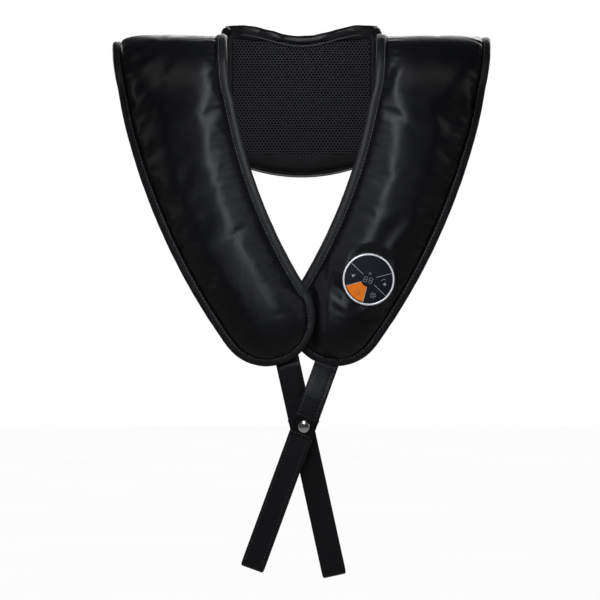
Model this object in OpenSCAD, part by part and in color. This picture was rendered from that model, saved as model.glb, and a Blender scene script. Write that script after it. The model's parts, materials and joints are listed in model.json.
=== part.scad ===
// Shiatsu neck massager, in millimetres.
// A padded yoke lies behind the neck and holds a worm-driven kneading unit. Two padded lapels
// hang from it over the chest and cross at their tips. Each lapel ends in a hand strap whose
// tail folds up and snaps shut. A round control panel sits in the wearer's left lapel.
// Frame: the origin is the centre of the flat rear face, +X is the wearer's left, +Z is up,
// and the front faces -Y.

/* [Yoke] */
// Half width of the collar between the two shoulder pads
collar_half_w = 88; // [88:0.5:90]
// Height of the neckline at the middle of the collar
neckline_z = 81; // [79:0.5:84]
// How far the neckline rises at the sides of the neck
neckline_rise = 13; // [8:0.5:15]
// Lowest point of the collar's hem, below the origin
hem_drop = 79; // [77:0.5:84]
// How far the hem rises from the middle to the collar's sides
hem_rise = 20; // [16:0.5:22]
// Depth of the padded collar, from its rear face to the front of its foam
collar_depth = 68; // [68:0.5:72]
// Thickness of the flat leather cover on the rear face
rear_cover_t = 1.5; // [1:0.1:2]
// Width of the sewn binding along every edge
binding_w = 9; // [7:0.5:10]

/* [Shoulders and lapels] */
// Width across both shoulder pads
shoulder_w = 434; // [428:1:440]
// Height of the shoulder ridge
ridge_z = 80; // [78:0.5:82]
// Depth of the shoulder ridge, in front of the rear face
ridge_depth = 102; // [101:0.5:104]
// Height at which the curve over the shoulder ends and the pads hang straight
hang_z = -5; // [-6:0.5:-4]
// Thickness of a shoulder pad
pad_t = 40; // [36:1:40]
// Depth from the rear face to the middle of a hanging lapel
lapel_depth = 182; // [181:0.5:183]
// Thickness of the crown along the middle of a lapel
crown_t = 34; // [30:1:36]
// Thickness of a lapel's step between crown and border
shelf_t = 16; // [14:0.5:16]
// Thickness of the flat sewn border
border_t = 5; // [4:0.5:5]
// Half width of a lapel where it leaves the shoulder
lapel_top_half_w = 65.5; // [63:0.5:67]
// Radius of a lapel's round tip
lapel_tip_r = 55; // [53:0.5:56]
// Angle by which the left lapel hangs back and the right one forward, so that they cross
lapel_lean = 1.6; // [1.4:0.1:2.2]

/* [Control panel] */
// Distance of the panel's centre from the middle of the body
panel_x = 74.9; // [73:0.1:77]
// Depth of the panel's centre below the origin
panel_drop = 200.5; // [198:0.5:203]
// Outer radius of the panel's bright ring
ring_r = 29; // [29:0.1:29.5]
// Width of the bright ring
ring_w = 2; // [1.8:0.1:2]
// Travel of a key
key_travel = 0.5; // [0.3:0.05:0.55]
// Radius of the fixed disc over the display
hub_r = 8.2; // [7.5:0.1:8.4]

/* [Hand straps] */
// Width of a hand strap
strap_w = 27; // [24:0.5:28]
// Thickness of a hand strap
strap_t = 2.4; // [2:0.1:2.6]
// Length of a hand strap from the lapel to its fold
strap_len = 240; // [225:1:250]
// Distance from the lapel to the snap
snap_at = 71; // [68:0.5:76]
// Gap between a strap and its folded tail
tail_gap = 3.2; // [3.2:0.1:4]
// Radius of the snap's cap
cap_r = 7.5; // [6.5:0.1:8]

/* [Kneading unit] */
// Distance of each kneading spindle from the middle
wheel_x = 38; // [38:0.1:38.1]
// Depth of the worm's axis in front of the rear face
worm_depth = 24.5; // [24.4:0.1:24.6]
// Number of teeth on a worm wheel
wheel_teeth = 50; // [50:1:50]
// Radius of the larger kneading head
large_head_r = 14; // [12:0.5:14]
// Radius of the smaller kneading head
small_head_r = 11; // [9:0.5:11]
// Distance of the larger kneading head from its spindle
large_head_at = 22; // [21:0.5:22]
// Distance of the smaller kneading head from its spindle
small_head_at = 20; // [18:0.5:20]
// Rest angle of the wearer's left kneading arm, above the horizontal
arm_angle = 60; // [0:5:175]

/* [Hidden] */
$fn = 64;

// Sides, and the small gaps and overcuts used throughout
LEFT = 1;
RIGHT = -1;
seam = 0.1;
cut = 1;

// Colours
leather = [0.09, 0.09, 0.10];
mesh_black = [0.12, 0.12, 0.13];
foam = [0.75, 0.73, 0.62];
moulding = [0.82, 0.82, 0.80];
steel = [0.70, 0.71, 0.73];
brass = [0.80, 0.65, 0.30];
nickel = [0.80, 0.80, 0.78];
gloss_navy = [0.05, 0.08, 0.12];
orange = [0.85, 0.38, 0.05];
board_green = [0.10, 0.35, 0.20];

// Yoke: the pads follow an elliptical arc over the shoulder, between front and rear legs
ridge_y = -ridge_depth;
lapel_y = -lapel_depth;
arc_a = lapel_depth - ridge_depth;
arc_b = ridge_z - hang_z - pad_t / 2;
arc_steps = 8;
ridge_gap = 0.3;
collar_front = -collar_depth;
outline_steps = 12;
mesh_t = 1.8;
// Corners of a rear pad's lower edge, as fractions of its width and heights below the ridge
rear_corner_x = [1, 0.93, 0.70, 0.34];
rear_corner_z = [50, 20, -10, -40];
rear_hem_z = hem_rise - hem_drop;

// Lapel: a band around a cubic curve, with a round tip
spine_top = [shoulder_w / 2 - lapel_top_half_w, ridge_z];
spine_a = [145, -35];
spine_b = [103, -150];
spine_tip = [39, -243];
lapel_steps = 14;
shelf_inset = 2 * binding_w;
crown_inset = 34;
above_ridge = 95;

// Kneading unit
module_mm = 1.25;
lead = PI * module_mm;
pitch_r = module_mm * wheel_teeth / 2;
wheel_tip_r = pitch_r + 1.15;
wheel_root_r = pitch_r - 1.6;
tooth_pitch_w = 1.46;
tooth_slope = 0.65;
wheel_w = 8;
worm_y = -worm_depth;
worm_tip_r = 8;
worm_root_r = 5.2;
worm_crest_half = 0.195;
worm_root_half = 1.105;
worm_turns = 6;
worm_slices = 84;
worm_flank_steps = 3;
worm_core_steps = 7;
shaft_r = 1.15;
room_r = wheel_tip_r + 1;
case_wall = 2;
case_r = room_r + case_wall;
case_front = -38;
case_back = -10.5;
floor_t = 2.5;
block_half_w = 14;
block_bottom = -20;
block_top = 27;
channel_half_w = 9.6;
channel_bottom = -13;
channel_top = 24;
lug_at = 38;
lug_angles = [-115, -35, 35, 115];
lug_r = 5;
screw_r = 1.4;
pilot_r = 1.45;
clear_r = 1.7;
screw_head_r = 2.75;
bush_r = 6.5;
boss_r = 9;
spindle_r = 4;
running = 0.05;
boss_front = -29.5;
boss_back = -19.5;
plate_boss_z = 24;
plate_boss_r = 3.5;
plate_front = case_back + 0.05;
plate_t = 2.5;
arm_front = -44;
arm_back = -39;
arm_w = 11;
arm_screw_r = 1.6;
head_back = -46;
head_front = -66;
head_pin_r = 3;
head_pin_end = -58;
head_gap = 0.5;
motor_r = 13.85;
motor_wall = 1;
motor_bottom = 27.2;
motor_top = 62;
motor_cap_top = 65;
armature_r = 10.5;

// Heat lamps, loom and power socket
lamp_board_front = -40.2;
lamp_board_back = -38.6;
lamp_board_w = 8;
lamp_board_h = 64;
lamp_z = 26;
lamp_r = 3;
lamp_lens_r = 2.6;
cutout_size = [4, 10, 12];
cutout_z = 46;
motor_bay_half_w = 21;
motor_bay_room = 3;
arm_room = 7;
plate_w = 124;
plate_h = 60;
plate_tongue_w = 40;
plate_tongue_h = 62;
loom_r = 1.5;
loom_room = 0.6;
slot_step = 0.1;
bend_swell = 1.15;
joint_swell = 1.3;
loom_x = 110;
jack_x = 76;
jack_y = -20;
jack_mouth_z = -66;
jack_size = [9, 11, 12];
jack_body_z = -58;
jack_collar_r = 4;
jack_bore_r = 2.85;
jack_pin_r = 1;
jack_pin_floor = -56;
jack_pin_tip = -65.2;

// Control panel, as depths along Y
panel_z = -panel_drop;
ring_front = -196.2;
ring_back = -193.7;
face_front = -195.6;
face_back = -194.4;
housing_floor = -179;
housing_wall = 2;
housing_r = ring_r - 1;
housing_room = 0.3;
rim_inner_r = housing_r - housing_wall;
lip_r = 26.8;
key_inner_r = hub_r + 0.3;
key_outer_r = rim_inner_r - 0.2;
key_trim = 0.7;
key_stem_r = 2;
key_stem_at = 17;
key_stem_end = -190.4;
tact_button_r = 1.75;
// Angles of the lines between the panel's sectors, from +X towards +Z
up_start = -44;
mark_start = 15;
down_start = 136;
power_start = 195;
heat_start = 256;
panel_turn = -15;
display_size = [12, 8.4];
board_front = -186;
board_back = -184.4;
board_r = 24;
board_screw_at = 21;
board_screw_angles = [75, 195, 315];
board_screw_r = 0.9;
board_clear_r = 1.15;
board_post_r = 3;
loom_entry_z = -186;

// Hand straps, in a frame at each strap's root, with -Z along the strap
strap_root_z = -298.5;
strap_root_x = [-14.3, 26.9];
strap_turn = [-12.35, 20.1];
strap_start = 0.5;
root_y = 5.5;
run_y = -5.5;
sway_len = 44;
sway_steps = 8;
tail_overhang = 12;
tail_y = run_y - strap_t - tail_gap;
stud_r = 1.9;
stud_h = 2.1;
stud_foot_r = 4.5;
stud_foot_t = 0.4;
socket_floor = 0.6;
post_r = 1.2;
cap_h = 2.2;
socket_r = 5.2;
socket_t = 2.6;

// ---- Helpers ----

function mix(a, b, t) = a + (b - a) * t;
function smooth(t) = t <= 0 ? 0 : t >= 1 ? 1 : t * t * (3 - 2 * t);
function unit(v) = v / norm(v);
function bezier(t) = pow(1 - t, 3) * spine_top + 3 * t * pow(1 - t, 2) * spine_a
    + 3 * t * t * (1 - t) * spine_b + pow(t, 3) * spine_tip;
function bezier_way(t) = unit(pow(1 - t, 2) * (spine_a - spine_top)
    + 2 * t * (1 - t) * (spine_b - spine_a) + t * t * (spine_tip - spine_b));
// A point beside the spine, on the outer (+1) or the neck (-1) side
function beside(t, side, inset) = let (way = bezier_way(t))
    bezier(t) + side * (mix(lapel_top_half_w, lapel_tip_r, t) - inset) * [-way[1], way[0]];
function reversed(points) = [for (i = [len(points) - 1 : -1 : 0]) points[i]];

// Extrudes a shape drawn in X and Z from one depth to another
module slab(front, back) {
    translate([0, back, 0]) rotate([90, 0, 0]) linear_extrude(back - front) children();
}

// Extrudes a shape drawn in Y and Z from one X to another
module across(x0, x1) {
    translate([x0, 0, 0]) rotate([90, 0, 90]) linear_extrude(x1 - x0) children();
}

// Mirrors the wearer's left side to the right
module on_side(side) {
    mirror([side < 0 ? 1 : 0, 0, 0]) children();
}

// Turns +Z along the run from one point to the next
module along(from, to) {
    run = to - from;
    translate(from) rotate([0, acos(run[2] / norm(run)), atan2(run[1], run[0])]) children();
}

// A cable along a list of points, with a ball at each bend
module wire(points) {
    for (i = [0 : len(points) - 2]) {
        along(points[i], points[i + 1]) cylinder(h = norm(points[i + 1] - points[i]), r = loom_r);
        if (i > 0) translate(points[i]) sphere(bend_swell * loom_r);
    }
}

// A square slot in the foam for a cable, each run a little wider than the one before
module wire_slot(points) {
    for (i = [0 : len(points) - 2]) let (half = loom_r + loom_room + i * slot_step)
        along(points[i], points[i + 1]) translate([-half, -half, -half])
            cube([2 * half, 2 * half, norm(points[i + 1] - points[i]) + 2 * half]);
}

// A ring sector between two angles
module sector(r0, r1, a0, a1) {
    reach = 2 * r1;
    middle = (a0 + a1) / 2;
    intersection() {
        difference() {
            circle(r1);
            circle(r0);
        }
        polygon([[0, 0], reach * [cos(a0), sin(a0)], reach * [cos(middle), sin(middle)],
            reach * [cos(a1), sin(a1)]]);
    }
}

// ---- Soft parts ----

// Outline of the collar, drawn in X and Z
function collar_x(i) = mix(-collar_half_w, collar_half_w, i / outline_steps);
function collar_top(x) = neckline_z + neckline_rise * (1 - cos(180 * x / 74)) / 2;
function collar_hem(x) = -hem_drop + hem_rise * pow(x / collar_half_w, 2);

module collar_outline(inset) {
    squeeze = 1 - inset / collar_half_w;
    top = [for (i = [0 : outline_steps]) [collar_x(i) * squeeze, collar_top(collar_x(i)) - inset]];
    hem = [for (i = [outline_steps : -1 : 0]) [collar_x(i) * squeeze, collar_hem(collar_x(i)) + inset]];
    polygon(concat(top, hem));
}

// Outline of the rear leg of the wearer's left shoulder pad
module rear_leg_outline(inset) {
    half_w = shoulder_w / 2 - inset;
    inner = collar_half_w + seam + inset;
    edge = [for (i = [0 : 3]) [mix(inner, half_w, rear_corner_x[i]), rear_corner_z[i] + inset]];
    polygon(concat([[inner, above_ridge], [half_w, above_ridge]], edge, [[inner, rear_hem_z + inset]]));
}

// The curved leg of a pad over the shoulder: way is -1 to the front and 1 to the rear
module saddle(way, thickness) {
    half = thickness / 2;
    arc = [for (i = [0 : arc_steps]) 90 * i / arc_steps];
    outer = [for (a = arc) [way * (arc_a + half) * sin(a), (arc_b + half) * cos(a)]];
    inner = [for (a = arc) [way * (arc_a - half) * sin(a), (arc_b - half) * cos(a)]];
    translate([0, ridge_y + way * ridge_gap / 2, hang_z])
        across(0, shoulder_w / 2) polygon(concat(outer, reversed(inner)));
}

module lapel_outline(inset) {
    tip_turn = atan2(bezier_way(1)[0], -bezier_way(1)[1]);
    outer = [for (i = [0 : lapel_steps]) beside(i / lapel_steps, 1, inset)];
    tip = [for (i = [1 : lapel_steps - 1]) let (a = tip_turn - 180 * i / lapel_steps)
        spine_tip + (lapel_tip_r - inset) * [cos(a), sin(a)]];
    neck = [for (i = [lapel_steps : -1 : 0]) beside(i / lapel_steps, -1, inset)];
    rise = [0, above_ridge - ridge_z];
    polygon(concat([outer[0] + rise], outer, tip, neck, [neck[lapel_steps] + rise]));
}

// Leans a hanging lapel back (left) or forward (right)
module lean(side) {
    translate([0, lapel_y, hang_z]) rotate([side * lapel_lean, 0, 0])
        translate([0, -lapel_y, -hang_z]) children();
}

module hanging(side, thickness) {
    lean(side) intersection() {
        slab(lapel_y - thickness / 2, lapel_y + thickness / 2) children();
        translate([-shoulder_w / 2, lapel_y - pad_t, -2 * panel_drop])
            cube([shoulder_w, 2 * pad_t, 2 * panel_drop]);
    }
}

module lapel_cushion(side) {
    on_side(side) {
        intersection() {
            saddle(-1, pad_t);
            slab(lapel_y - pad_t, ridge_y) lapel_outline(binding_w + seam);
        }
        hanging(side, border_t) lapel_outline(binding_w + seam);
        hanging(side, shelf_t) lapel_outline(shelf_inset);
        hanging(side, crown_t) lapel_outline(crown_inset);
    }
}

module lapel_binding(side) {
    on_side(side) {
        intersection() {
            saddle(-1, border_t);
            slab(lapel_y - pad_t, ridge_y) lapel_border();
        }
        hanging(side, border_t) lapel_border();
    }
}

module lapel_border() {
    difference() {
        lapel_outline(0);
        lapel_outline(binding_w);
    }
}

module left_lapel_cushion() {
    color(leather) difference() {
        lapel_cushion(LEFT);
        at_panel() slab(lapel_y - pad_t, ring_back + seam) circle(ring_r + housing_room);
        at_panel() slab(ring_back, housing_floor + seam) circle(housing_r + housing_room);
        wire_slot(lapel_loom_path);
    }
}

module right_lapel_cushion() {
    color(leather) lapel_cushion(RIGHT);
}

module left_lapel_binding() {
    color(leather) lapel_binding(LEFT);
}

module right_lapel_binding() {
    color(leather) lapel_binding(RIGHT);
}

module shoulder_pad(side) {
    on_side(side) {
        intersection() {
            saddle(1, pad_t);
            slab(ridge_y, 0) rear_leg_outline(0);
        }
        intersection() {
            slab(-arc_a / 2 - 2, ridge_y + arc_a + pad_t / 2) rear_leg_outline(0);
            translate([0, ridge_y, -hem_drop]) cube([shoulder_w / 2, ridge_depth, hem_drop + hang_z + 1]);
        }
    }
}

module left_shoulder_pad() {
    color(leather) difference() {
        shoulder_pad(LEFT);
        wire_slot(lapel_feed_path);
    }
}

module right_shoulder_pad() {
    color(leather) shoulder_pad(RIGHT);
}

module back_cover() {
    color(leather) {
        slab(-rear_cover_t, 0) collar_outline(0);
        for (side = [LEFT, RIGHT]) on_side(side) intersection() {
            slab(-rear_cover_t, 0) rear_leg_outline(0);
            translate([0, -ridge_depth, -hem_drop])
                cube([shoulder_w / 2, 2 * ridge_depth, hem_drop + hang_z]);
        }
        slab(-rear_cover_t, 0) translate([-collar_half_w - cut, rear_hem_z + cut])
            square([2 * (collar_half_w + cut), hem_drop / 2]);
    }
}

module mesh_panel() {
    color(mesh_black) slab(collar_front - seam - mesh_t, collar_front - seam)
        collar_outline(binding_w + seam);
}

module yoke_binding() {
    color(leather) slab(collar_front - seam - mesh_t, collar_front + border_t) difference() {
        collar_outline(0);
        collar_outline(binding_w);
    }
}

module back_cushion() {
    color(foam) difference() {
        union() {
            slab(collar_front + border_t + seam, -rear_cover_t - seam) collar_outline(0);
            slab(collar_front, collar_front / 2) collar_outline(binding_w + seam);
        }
        slab(case_front - cut, plate_front + seam) gearbox_outline(cut);
        slab(case_front - 2 - seam, case_front) gearbox_outline(seam);
        slab(plate_front - seam, plate_front + plate_t + 2.5) plate_outline(0.3);
        at_spindles() slab(collar_front - cut, case_front) circle(room_r + arm_room);
        slab(lamp_board_front - 2 * lamp_lens_r - 2 * seam, case_front) lamp_board_outline(seam);
        slab(worm_y - motor_r - 4, plate_front) motor_bay();
        for (path = [bus_path, lapel_feed_path, jack_feed_path, lamp_feed_path])
            wire_slot(path);
        jack_body(seam);
    }
}

module motor_bay() {
    translate([-motor_bay_half_w, block_top - cut])
        square([2 * motor_bay_half_w, motor_cap_top - block_top + motor_bay_room]);
}

// ---- Kneading unit ----

module lugs(r) {
    for (side = [LEFT, RIGHT], a = lug_angles)
        translate([side * (wheel_x + lug_at * cos(a)), lug_at * sin(a)]) circle(r);
}

module gearbox_outline(grow) {
    for (side = [LEFT, RIGHT]) translate([side * wheel_x, 0]) circle(case_r + grow);
    translate([-block_half_w - grow, block_bottom - grow])
        square([2 * (block_half_w + grow), block_top - block_bottom + 2 * grow]);
    lugs(lug_r + grow);
}

// The space inside the gearbox for both wheels and the worm
module gear_room() {
    for (side = [LEFT, RIGHT]) translate([side * wheel_x, 0]) circle(room_r);
    translate([-channel_half_w, channel_bottom])
        square([2 * channel_half_w, channel_top - channel_bottom]);
}

// Places a solid, or a shape drawn in X and Z, at both spindles
module at_spindles() {
    for (side = [LEFT, RIGHT]) translate([side * wheel_x, 0, 0]) children();
}

module plate_holes(r) {
    for (side = [LEFT, RIGHT], z = [-plate_boss_z, plate_boss_z])
        translate([side * wheel_x, z]) circle(r);
}

// The motor shaft's foot bearing and its way out of the gearbox
module shaft_ways() {
    translate([0, worm_y, block_bottom + 2]) cylinder(h = -block_bottom, r = shaft_r + running);
    translate([0, worm_y, channel_top - cut]) cylinder(h = 2 * cut + block_top - channel_top, r = 3);
}

module gearbox_base() {
    color(moulding) difference() {
        union() {
            difference() {
                slab(worm_y, case_back) gearbox_outline(0);
                slab(worm_y - cut, case_back - floor_t) gear_room();
            }
            slab(boss_back, case_back - cut) at_spindles() circle(boss_r);
            slab(boss_back, case_back - cut) plate_holes(plate_boss_r);
        }
        slab(boss_back - cut, case_back - floor_t) at_spindles() circle(bush_r);
        slab(boss_back + cut, case_back + cut) plate_holes(screw_r + running);
        slab(worm_y - cut, case_back - floor_t) lugs(pilot_r);
        shaft_ways();
    }
}

module gearbox_cover() {
    color(moulding) difference() {
        union() {
            difference() {
                slab(case_front, worm_y - running) gearbox_outline(0);
                slab(case_front + floor_t, worm_y + cut) gear_room();
            }
            slab(case_front + cut, boss_front) at_spindles() circle(boss_r);
        }
        slab(case_front - cut, boss_front + cut) at_spindles() circle(bush_r);
        slab(case_front - cut, worm_y + cut) lugs(clear_r);
        shaft_ways();
    }
}

module gearbox_screws() {
    color(steel) {
        slab(case_front - seam / 2 - 2, case_front - seam / 2) lugs(screw_head_r);
        slab(case_front - cut, case_back - floor_t - cut) lugs(screw_r);
    }
}

module plate_outline(grow) {
    square([plate_w + 2 * grow, plate_h + 2 * grow], center = true);
    translate([-plate_tongue_w / 2 - grow, -grow])
        square([plate_tongue_w + 2 * grow, plate_tongue_h + 2 * grow]);
}

module back_plate() {
    color(moulding) difference() {
        slab(plate_front, plate_front + plate_t) plate_outline(0);
        slab(plate_front - cut, plate_front + plate_t + cut) plate_holes(clear_r);
    }
}

module plate_screws() {
    back = plate_front + plate_t + seam / 2;
    color(steel) {
        slab(back, back + 2) plate_holes(screw_head_r);
        slab(boss_back + 2 * cut, back + cut) plate_holes(screw_r);
    }
}

module spindle_bushes() {
    color(brass) {
        bush(case_front, boss_front - seam);
        bush(boss_back + seam, case_back - floor_t - seam);
    }
}

module bush(front, back) {
    slab(front, back) at_spindles() difference() {
        circle(bush_r - 0.02);
        circle(spindle_r + running);
    }
}

module motor_can() {
    color(steel) translate([0, worm_y, 0]) difference() {
        translate([0, 0, motor_bottom]) cylinder(h = motor_top - motor_bottom, r = motor_r);
        translate([0, 0, motor_bottom + 2]) cylinder(h = motor_top, r = motor_r - motor_wall);
        translate([0, 0, motor_bottom - cut]) cylinder(h = motor_top, r = shaft_r + running);
    }
}

module motor_end_cap() {
    color("dimgray") translate([0, worm_y, 0]) difference() {
        union() {
            translate([0, 0, motor_top + seam]) cylinder(h = motor_cap_top - motor_top, r = motor_r);
            translate([0, 0, motor_top - 3]) cylinder(h = 4, r = motor_r - motor_wall - seam);
        }
        translate([0, 0, motor_top - 4]) cylinder(h = 5, r = shaft_r + running);
    }
}

module motor_shaft() {
    color(steel) translate([0, worm_y, 0]) {
        translate([0, 0, block_bottom + 3]) cylinder(h = motor_top - block_bottom - 3, r = shaft_r);
        translate([0, 0, motor_bottom + 6]) cylinder(h = motor_top - motor_bottom - 13, r = armature_r);
    }
}

// Half the angle that the thread covers at a radius
function thread_half(r) = 360 / lead * mix(worm_root_half, worm_crest_half,
    (r - worm_root_r) / (worm_tip_r - worm_root_r));
function polar(r, a) = r * [cos(a), sin(a)];

module worm_section() {
    radii = [for (i = [0 : worm_flank_steps]) mix(worm_root_r, worm_tip_r, i / worm_flank_steps)];
    rising = [for (r = radii) polar(r, -thread_half(r))];
    falling = [for (r = reversed(radii)) polar(r, thread_half(r))];
    foot = thread_half(worm_root_r);
    core = [for (i = [1 : worm_core_steps])
        polar(worm_root_r, mix(foot, 360 - foot, i / (worm_core_steps + 1)))];
    polygon(concat(rising, [polar(worm_tip_r, 0)], falling, core));
}

module worm() {
    color(brass) translate([0, worm_y, 0]) difference() {
        linear_extrude(worm_turns * lead, center = true, twist = -360 * worm_turns,
            slices = worm_slices, $fn = 12) worm_section();
        cylinder(h = 2 * worm_turns * lead, r = shaft_r + 0.02, center = true);
    }
}

// A wheel's outline: half_step turns it so that a space faces the worm
module wheel_section(half_step) {
    step = 360 / wheel_teeth;
    tip_half = tooth_pitch_w / 2 - tooth_slope * (wheel_tip_r - pitch_r) / 2;
    root_half = tooth_pitch_w / 2 + tooth_slope * (pitch_r - wheel_root_r) / 2;
    polygon([for (i = [0 : wheel_teeth - 1], corner = [[wheel_root_r, -root_half],
        [wheel_tip_r, -tip_half], [wheel_tip_r, tip_half], [wheel_root_r, root_half]])
        let (a = step * (i + half_step)) [corner[0] * cos(a) - corner[1] * sin(a),
            corner[0] * sin(a) + corner[1] * cos(a)]]);
}

module worm_wheel(side) {
    slab(worm_y - wheel_w / 2, worm_y + wheel_w / 2) translate([side * wheel_x, 0]) difference() {
        wheel_section(side == LEFT ? 0.5 : 0);
        circle(spindle_r + 0.02);
    }
}

module left_worm_wheel() {
    color("ivory") worm_wheel(LEFT);
}

module right_worm_wheel() {
    color("ivory") worm_wheel(RIGHT);
}

// Turns a shape drawn along +X into the line of one kneading arm
module on_arm(side) {
    translate([side * wheel_x, 0]) rotate(side == LEFT ? arm_angle : 180 - arm_angle) children();
}

module spindle(side) {
    difference() {
        slab(arm_front, case_back - floor_t - 2 * seam) translate([side * wheel_x, 0]) circle(spindle_r);
        slab(arm_front - cut, arm_front + 10) translate([side * wheel_x, 0]) circle(arm_screw_r + running);
    }
}

module left_spindle() {
    color(steel) spindle(LEFT);
}

module right_spindle() {
    color(steel) spindle(RIGHT);
}

module arm(side) {
    slab(arm_front, arm_back) on_arm(side) difference() {
        union() {
            translate([-small_head_at, -arm_w / 2]) square([large_head_at + small_head_at, arm_w]);
            for (x = [-small_head_at, large_head_at]) translate([x, 0]) circle(7);
            circle(9);
        }
        circle(spindle_r + 0.02);
        for (x = [-small_head_at, large_head_at]) translate([x, 0]) circle(head_pin_r + 0.02);
    }
}

module left_arm() {
    color(steel) arm(LEFT);
}

module right_arm() {
    color(steel) arm(RIGHT);
}

// Two head pins and the screw that holds the arm on its spindle
module arm_pins(side) {
    slab(head_pin_end, arm_back) on_arm(side)
        for (x = [-small_head_at, large_head_at]) translate([x, 0]) circle(head_pin_r);
    slab(arm_front - 2, arm_front - seam / 2) translate([side * wheel_x, 0]) circle(6);
    slab(arm_front - cut, arm_front + 9) translate([side * wheel_x, 0]) circle(arm_screw_r);
}

module left_arm_pins() {
    color(steel) arm_pins(LEFT);
}

module right_arm_pins() {
    color(steel) arm_pins(RIGHT);
}

// A domed kneading head with a blind bore for its pin
module head(side, x, r) {
    front = head_front + large_head_r - r;
    ball_r = r + 3;
    difference() {
        intersection() {
            slab(front, head_back) on_arm(side) translate([x, 0]) circle(r);
            rotate([90, 0, 0]) on_arm(side) translate([x, 0, -front - ball_r]) sphere(ball_r);
        }
        slab(head_pin_end - head_gap, head_back + cut) on_arm(side) translate([x, 0])
            circle(head_pin_r + running);
    }
}

module left_large_head() {
    color("tan") head(LEFT, large_head_at, large_head_r);
}

module left_small_head() {
    color("tan") head(LEFT, -small_head_at, small_head_r);
}

module right_large_head() {
    color("tan") head(RIGHT, large_head_at, large_head_r);
}

module right_small_head() {
    color("tan") head(RIGHT, -small_head_at, small_head_r);
}

// ---- Heat, wiring and power ----

module lamp_board_outline(grow) {
    square([lamp_board_w + 2 * grow, lamp_board_h + 2 * grow], center = true);
}

module heat_lamp_board() {
    color(board_green) slab(lamp_board_front, lamp_board_back) lamp_board_outline(0);
}

module heat_lamps() {
    color("firebrick") for (z = [-lamp_z, lamp_z]) {
        slab(lamp_board_front - lamp_lens_r, lamp_board_front - seam / 2) translate([0, z]) circle(lamp_r);
        translate([0, lamp_board_front - lamp_lens_r - seam, z]) sphere(lamp_lens_r);
    }
}

module thermal_cutout() {
    color("whitesmoke") translate([-motor_r - cutout_size[0] - 1, worm_y - cutout_size[1] / 2, cutout_z])
        cube(cutout_size);
}

bus_path = [[6, worm_y, motor_cap_top + 0.5], [6, worm_y, 71], [60, worm_y, 71], [82, worm_y, 60],
    [82, worm_y, 38]];
lapel_feed_path = [[82, worm_y, 38], [94, -32, 38], [loom_x, -42, 44], [loom_x, -66, 58],
    [loom_x, ridge_y + ridge_gap, 61]];
jack_feed_path = [[82, worm_y, 38], [82, worm_y, -30], [jack_x, jack_y, -50.5]];
lamp_feed_path = [[6, worm_y, 71], [0, lamp_board_front - 2, 68], [0, lamp_board_front - 2, 32.5]];
lapel_loom_path = [[loom_x, ridge_y - ridge_gap, 61], [loom_x, -140, 52], [loom_x, -178, 5],
    [loom_x, lapel_y, -60], [panel_x + 8, -172, -150], [panel_x, -171, loom_entry_z],
    [panel_x, board_back + seam + loom_r, loom_entry_z]];

module yoke_loom() {
    color("black") {
        for (path = [bus_path, lapel_feed_path, jack_feed_path, lamp_feed_path])
            wire(path);
        for (joint = [bus_path[4], bus_path[1]]) translate(joint) sphere(joint_swell * loom_r);
    }
}

module lapel_loom() {
    color("black") wire(lapel_loom_path);
}

module jack_body(grow) {
    translate([jack_x, jack_y, jack_body_z]) cube(jack_size + 2 * grow * [1, 1, 1], center = true);
    translate([jack_x, jack_y, jack_mouth_z - grow])
        cylinder(h = jack_body_z - jack_mouth_z, r = jack_collar_r + grow);
}

module dc_jack() {
    color("black") {
        difference() {
            jack_body(0);
            translate([jack_x, jack_y, jack_mouth_z - cut])
                cylinder(h = jack_pin_floor - jack_mouth_z + cut, r = jack_bore_r);
        }
        translate([jack_x, jack_y, jack_pin_tip])
            cylinder(h = jack_pin_floor - jack_pin_tip + cut, r = jack_pin_r);
    }
}

// ---- Control panel ----

module at_panel() {
    translate([panel_x, 0, panel_z]) children();
}

module board_screw_holes(r) {
    for (a = board_screw_angles) translate(polar(board_screw_at, a)) circle(r);
}

module panel_housing() {
    color("black") at_panel() difference() {
        union() {
            difference() {
                slab(ring_back + seam, housing_floor) circle(housing_r);
                slab(ring_back - cut, housing_floor - housing_wall) circle(rim_inner_r);
            }
            slab(face_back + seam, ring_back + cut) difference() {
                circle(lip_r);
                circle(rim_inner_r);
            }
            slab(board_back + seam, housing_floor - cut) board_screw_holes(board_post_r);
        }
        slab(board_back - cut, housing_floor - cut) board_screw_holes(board_screw_r + running);
        slab(board_back, housing_floor + cut) translate([0, loom_entry_z - panel_z])
            circle(loom_r + loom_room);
    }
}

module panel_bezel() {
    color(nickel) at_panel() slab(ring_front, ring_back) difference() {
        circle(ring_r);
        circle(ring_r - ring_w);
    }
}

module panel_fascia() {
    color(gloss_navy) at_panel() slab(face_front, face_back) {
        circle(hub_r);
        sector(hub_r - cut, ring_r - ring_w - seam, mark_start, down_start);
        difference() {
            circle(ring_r - ring_w - seam);
            circle(rim_inner_r + 0.05);
        }
    }
}

// A sector key with a stem over its switch
module key(a0, a1) {
    at_panel() {
        slab(face_front, face_back) sector(key_inner_r, key_outer_r, a0 + key_trim, a1 - key_trim);
        slab(face_back - seam, key_stem_end) translate(polar(key_stem_at, (a0 + a1) / 2)) circle(key_stem_r);
    }
}

module power_key() {
    color(orange) key(power_start, heat_start);
}

module up_key() {
    color(gloss_navy) key(up_start, mark_start);
}

module down_key() {
    color(gloss_navy) key(down_start, power_start);
}

module heat_key() {
    color(gloss_navy) key(heat_start, up_start + 360);
}

module display_module() {
    color("dimgray") at_panel() slab(face_back + seam, board_front - seam)
        rotate(panel_turn) square(display_size, center = true);
}

module control_board() {
    color(board_green) at_panel() slab(board_front, board_back) difference() {
        circle(board_r);
        board_screw_holes(board_clear_r);
    }
}

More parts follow.
